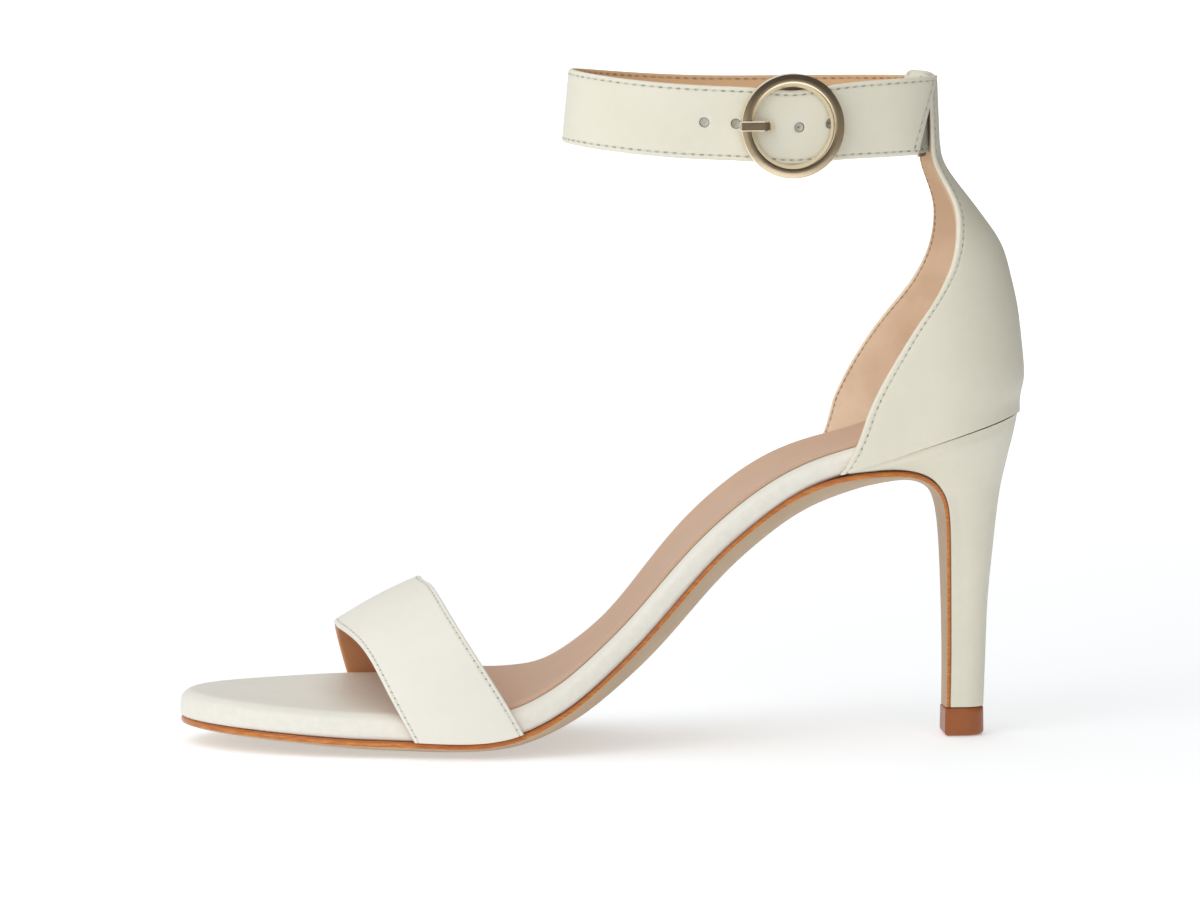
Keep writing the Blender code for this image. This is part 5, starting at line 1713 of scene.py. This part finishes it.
class SANDAL_OT_buckle(Operator):
    """Make the buckle's ring, bar and prong"""

    bl_idname = "sandal.buckle"
    bl_label = "Buckle"

    def execute(self, context):
        colours = context.scene.sandal_colours
        finish = plated_metal("pale_gold", colours.metal, toned(colours.metal, 0.9))
        self.ring(finish, context.scene.sandal_sizes.ring_bevel / MM)
        self.prong(finish)
        return {"FINISHED"}

    def ring(self, finish, bevel):
        """Make the round frame, flat-faced with a bevel inside, and the bar behind the strap."""
        outer, inner = RING_OUTER / 2, RING_INNER / 2
        front, back = RING_OUT + RING_DEPTH / 2, RING_OUT - RING_DEPTH / 2
        brow = inner + 0.1 + bevel
        section = np.array([
            (outer, back + 0.9), (outer, front - 0.75), (outer - 0.05, front - 0.45),
            (outer - 0.25, front - 0.1), (outer - 0.8, front - 0.065), (outer - 1.4, front - 0.03),
            (brow + 0.4, front), (brow, front - 0.06),
            (inner + 0.1, front - 1.4), (inner, front - 1.7),
            (inner + 0.1, back + 0.5), (inner + 0.5, back + 0.12), (inner + 1.2, back),
            (outer - 1.2, back), (outer - 0.5, back + 0.12), (outer - 0.1, back + 0.5),
        ])
        rings = []
        for turn in np.linspace(0, 2 * math.pi, 200, endpoint=False):
            along = section[:, 0] * math.cos(turn)
            rings.append(BUCKLE.point(along, section[:, 1], section[:, 0] * math.sin(turn)))
        skin = Skin()
        loft(skin, rings, closed=True)
        skin.build("buckle_ring_metal", [finish], ("buckle_ring",), sharp=28.0)
        bar = Skin()
        arm = (RING_OUTER + RING_INNER) / 4 - 0.6
        bend = 1.0
        turn = np.linspace(0, math.pi / 2, 9)
        out = np.concatenate([[RING_OUT], BAR_OUT + bend * (1 - np.sin(turn))])
        up = np.concatenate([[arm], arm - bend * (1 - np.cos(turn))])
        out = np.concatenate([out, out[::-1]])
        up = np.concatenate([up, -up[::-1]])
        centres = BUCKLE.point(0.0, out, up)
        angle = np.linspace(0, 2 * math.pi, 20, endpoint=False)
        rings = []
        for centre, direction in zip(centres, unit(np.gradient(centres, axis=0))):
            second = np.cross(direction, BUCKLE.along)
            circle = np.outer(np.cos(angle), BUCKLE.along) + np.outer(np.sin(angle), second)
            rings.append(centre + BAR_RADIUS * circle)
        loft(bar, rings)
        bar.build("buckle_bar_metal", [finish])

    def prong(self, finish):
        """Make the prong: an eye on the bar and a bevelled arm through the hole onto the ring."""
        skin = Skin()
        stops = np.array([
            (-1.5, -2.45),
            (-3.4, -2.1),
            (PRONG_HOLE_ALONG + 1.1, -0.5),
            (PRONG_HOLE_ALONG + 0.55, 1.0),
            (PRONG_HOLE_ALONG + 0.25, 2.9),
            (PRONG_HOLE_ALONG - 0.8, 4.5),
            (-9.6, 5.05),
            (-12.0, 5.4),
            (-14.6, 5.7),
        ])
        along = lengths(stops)
        t = np.append(np.linspace(0, along[-1] - 0.45, 60), along[-1])
        centres = BUCKLE.point(spline(along, stops[:, 0])(t), spline(along, stops[:, 1])(t), 0.0)
        tall = PRONG_RADIUS + (PRONG_TIP_HALF - PRONG_RADIUS) * smooth(t, 3.0, 10.0)
        deep = PRONG_RADIUS - 0.3 * smooth(t, 8.0, 14.0)
        tall[-1] -= 0.35
        deep[-1] -= 0.35
        rings = []
        directions = unit(np.gradient(centres, axis=0))
        for centre, direction, h, d in zip(centres, directions, tall, deep):
            face = np.cross(BUCKLE.up, direction)
            bevel = 0.5 * d
            corners = [(-h + 0.25, -d), (-h, 0.25 - d), (-h, d - bevel), (1.3 * bevel - h, d),
                       (h - 1.3 * bevel, d), (h, d - bevel), (h, 0.25 - d), (h - 0.25, -d)]
            rings.append(np.array([centre + u * BUCKLE.up + o * face for u, o in corners]))
        loft(skin, rings)
        skin.build("buckle_prong_metal", [finish], ("buckle_prong",), sharp=30.0)
        eye = Skin()
        inner = BAR_RADIUS + 0.25
        angle = np.linspace(0, 2 * math.pi, 40, endpoint=False)
        corners = [(inner, -EYE_HALF), (EYE_RADIUS - 0.2, -EYE_HALF), (EYE_RADIUS, -EYE_HALF + 0.2),
                   (EYE_RADIUS, EYE_HALF - 0.2), (EYE_RADIUS - 0.2, EYE_HALF), (inner, EYE_HALF)]
        rings = []
        for radius, up in corners:
            out = BAR_OUT + radius * np.sin(angle)
            rings.append(BUCKLE.point(radius * np.cos(angle), out, up))
        loft(eye, rings, closed=True)
        eye.build("prong_eye_metal", [finish])


class SANDAL_OT_stage(Operator):
    """Make the floor, the lights and the camera"""

    bl_idname = "sandal.stage"
    bl_label = "Stage"

    def execute(self, context):
        settings = context.scene.sandal_stage
        self.floor(context, settings)
        self.cards(context)
        self.lights(context, settings)
        self.camera(context)
        return {"FINISHED"}

    def plane(self, context, name, corners, finish):
        """Make one flat piece of the studio."""
        mesh = bpy.data.meshes.new(name)
        mesh.from_pydata(corners, [], [(0, 1, 2, 3)])
        mesh.materials.append(finish.material)
        plane = bpy.data.objects.new(name, mesh)
        context.scene.collection.objects.link(plane)
        return plane

    def floor(self, context, settings):
        """Make one wide pale floor that glows more strongly far from the shoe."""
        finish = Finish("floor_white")
        flat = finish.place.times(MM)
        away = (flat.part(0) ** 2.0 + flat.part(1) ** 2.0) ** 0.5
        near = rgba(GLOW_TINT, settings.floor_glow)
        far = rgba(GLOW_TINT, settings.far_glow)
        glow = away.ramp(*GLOW_REACH).tint(near, far)
        finish.set(Base_Color=rgba(settings.floor_colour), Roughness=0.8, Specular_IOR_Level=0.1)
        finish.set(Emission_Color=glow, Emission_Strength=1.0)
        r, z = FLOOR_REACH, FLOOR_Z
        self.plane(context, "floor", [(-r, -r, z), (r, -r, z), (r, r, z), (-r, r, z)], finish)

    def cards(self, context):
        """Make the darker cards that the camera doesn't see and the buckle mirrors."""
        dark, grey, tan = Finish("card_dark"), Finish("card_grey"), Finish("card_tan")
        heel_side = dark.place.part(0).ramp(300.0, 500.0)
        foot = heel_side.tint((0.85, 0.77, 0.65, 1.0), (0.40, 0.36, 0.30, 1.0))
        height = dark.place.part(2).ramp(0.0, 550.0)
        dark.set(Base_Color=height.tint(foot, (0.08, 0.07, 0.06, 1.0)))
        grey.set(Base_Color=(0.10, 0.09, 0.075, 1.0))
        heel_side = tan.place.part(0).ramp(300.0, 600.0)
        tan.set(Base_Color=heel_side.tint((0.98, 0.93, 0.84, 1.0), (0.60, 0.54, 0.45, 1.0)))
        front = [(-0.3, -2.6, 0.02), (2.0, -2.6, 0.02), (2.0, -2.6, 1.0), (-0.3, -2.6, 1.0)]
        right = [(0.52, -0.75, 0.05), (0.52, 1.1, 0.05), (0.52, 1.1, 1.3), (0.52, -0.75, 1.3)]
        low = [(-0.6, -2.6, 0.01), (2.0, -2.6, 0.01), (2.0, -1.2, 0.01), (-0.6, -1.2, 0.01)]
        cards = (("front_card", front, dark), ("right_card", right, grey), ("low_card", low, tan))
        for name, corners, look in cards:
            look.set(Roughness=0.9)
            self.plane(context, name, corners, look).visible_camera = False

    def lights(self, context, settings):
        """Make two soft lights, of which the key is mirrored, and a room lit more from above."""
        aim = Vector((0.0, 0.0, 0.06))
        lamps = [
            ("key_light", (-0.95, -1.05, 1.2), 1.2, settings.key_power, True),
            ("fill_light", (0.2, -2.0, 0.8), 1.0, settings.fill_power, False),
        ]
        for name, place, size, power, mirrored in lamps:
            lamp = bpy.data.lights.new(name, "AREA")
            lamp.shape = "SQUARE"
            lamp.size = size
            lamp.energy = power
            thing = bpy.data.objects.new(name, lamp)
            thing.visible_glossy = mirrored
            thing.location = place
            thing.rotation_mode = "QUATERNION"
            thing.rotation_quaternion = (aim - Vector(place)).to_track_quat("-Z", "Y")
            context.scene.collection.objects.link(thing)
        world = bpy.data.worlds.new("studio")
        world.use_nodes = True
        background = world.node_tree.nodes["Background"]
        background.inputs["Color"].default_value = (1.0, 1.0, 1.0, 1.0)
        start = Value(world.node_tree, None)
        height = start.node("ShaderNodeTexCoord", None, None, "Generated").part(2)
        side, top = settings.side_strength, settings.top_strength
        start.feed(background.inputs["Strength"], height * (top - side) + side)
        context.scene.world = world
        context.scene.view_settings.view_transform = "Standard"

    def camera(self, context):
        """Make the camera at the photograph's angle."""
        camera = bpy.data.cameras.new("photo_camera")
        camera.sensor_width = 36.0
        camera.lens = camera.sensor_width * PHOTO_FOCUS / PHOTO_WIDTH
        camera.clip_end = 50.0
        thing = bpy.data.objects.new("photo_camera", camera)
        aim = Vector(CAMERA_AIM)
        sideways = CAMERA_AWAY * math.sin(CAMERA_TURN)
        back = CAMERA_AWAY * math.cos(CAMERA_TURN)
        thing.location = (aim.x - sideways, aim.y - back, CAMERA_HEIGHT)
        thing.rotation_mode = "QUATERNION"
        thing.rotation_quaternion = (aim - thing.location).to_track_quat("-Z", "Y")
        context.scene.collection.objects.link(thing)
        context.scene.camera = thing


class SANDAL_PT_panel(Panel):
    """The sandal's tools in the sidebar"""

    bl_idname = "SANDAL_PT_panel"
    bl_label = "Stiletto sandal"
    bl_space_type = "VIEW_3D"
    bl_region_type = "UI"
    bl_category = "Sandal"

    def draw(self, context):
        scene = context.scene
        for group in (scene.sandal_colours, scene.sandal_sizes, scene.sandal_stage):
            box = self.layout.box()
            for name in group.__annotations__:
                box.prop(group, name)
        for operator in OPERATORS:
            self.layout.operator(operator.bl_idname)


GROUPS = (SandalColours, SandalSizes, SandalStage)
OPERATORS = (
    SANDAL_OT_stage,
    SANDAL_OT_sole,
    SANDAL_OT_heel,
    SANDAL_OT_toe_strap,
    SANDAL_OT_counter,
    SANDAL_OT_ankle_strap,
    SANDAL_OT_buckle,
)


def register():
    """Register the settings, the tools and the panel."""
    for item in GROUPS + OPERATORS + (SANDAL_PT_panel,):
        bpy.utils.register_class(item)
    bpy.types.Scene.sandal_colours = PointerProperty(type=SandalColours)
    bpy.types.Scene.sandal_sizes = PointerProperty(type=SandalSizes)
    bpy.types.Scene.sandal_stage = PointerProperty(type=SandalStage)


def unregister():
    """Remove them again."""
    del bpy.types.Scene.sandal_stage
    del bpy.types.Scene.sandal_sizes
    del bpy.types.Scene.sandal_colours
    for item in reversed(GROUPS + OPERATORS + (SANDAL_PT_panel,)):
        bpy.utils.unregister_class(item)


def main():
    """Build the sandal."""
    register()
    for operator in OPERATORS:
        group, name = operator.bl_idname.split(".")
        getattr(getattr(bpy.ops, group), name)()
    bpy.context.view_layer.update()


if __name__ == "__main__":
    main()
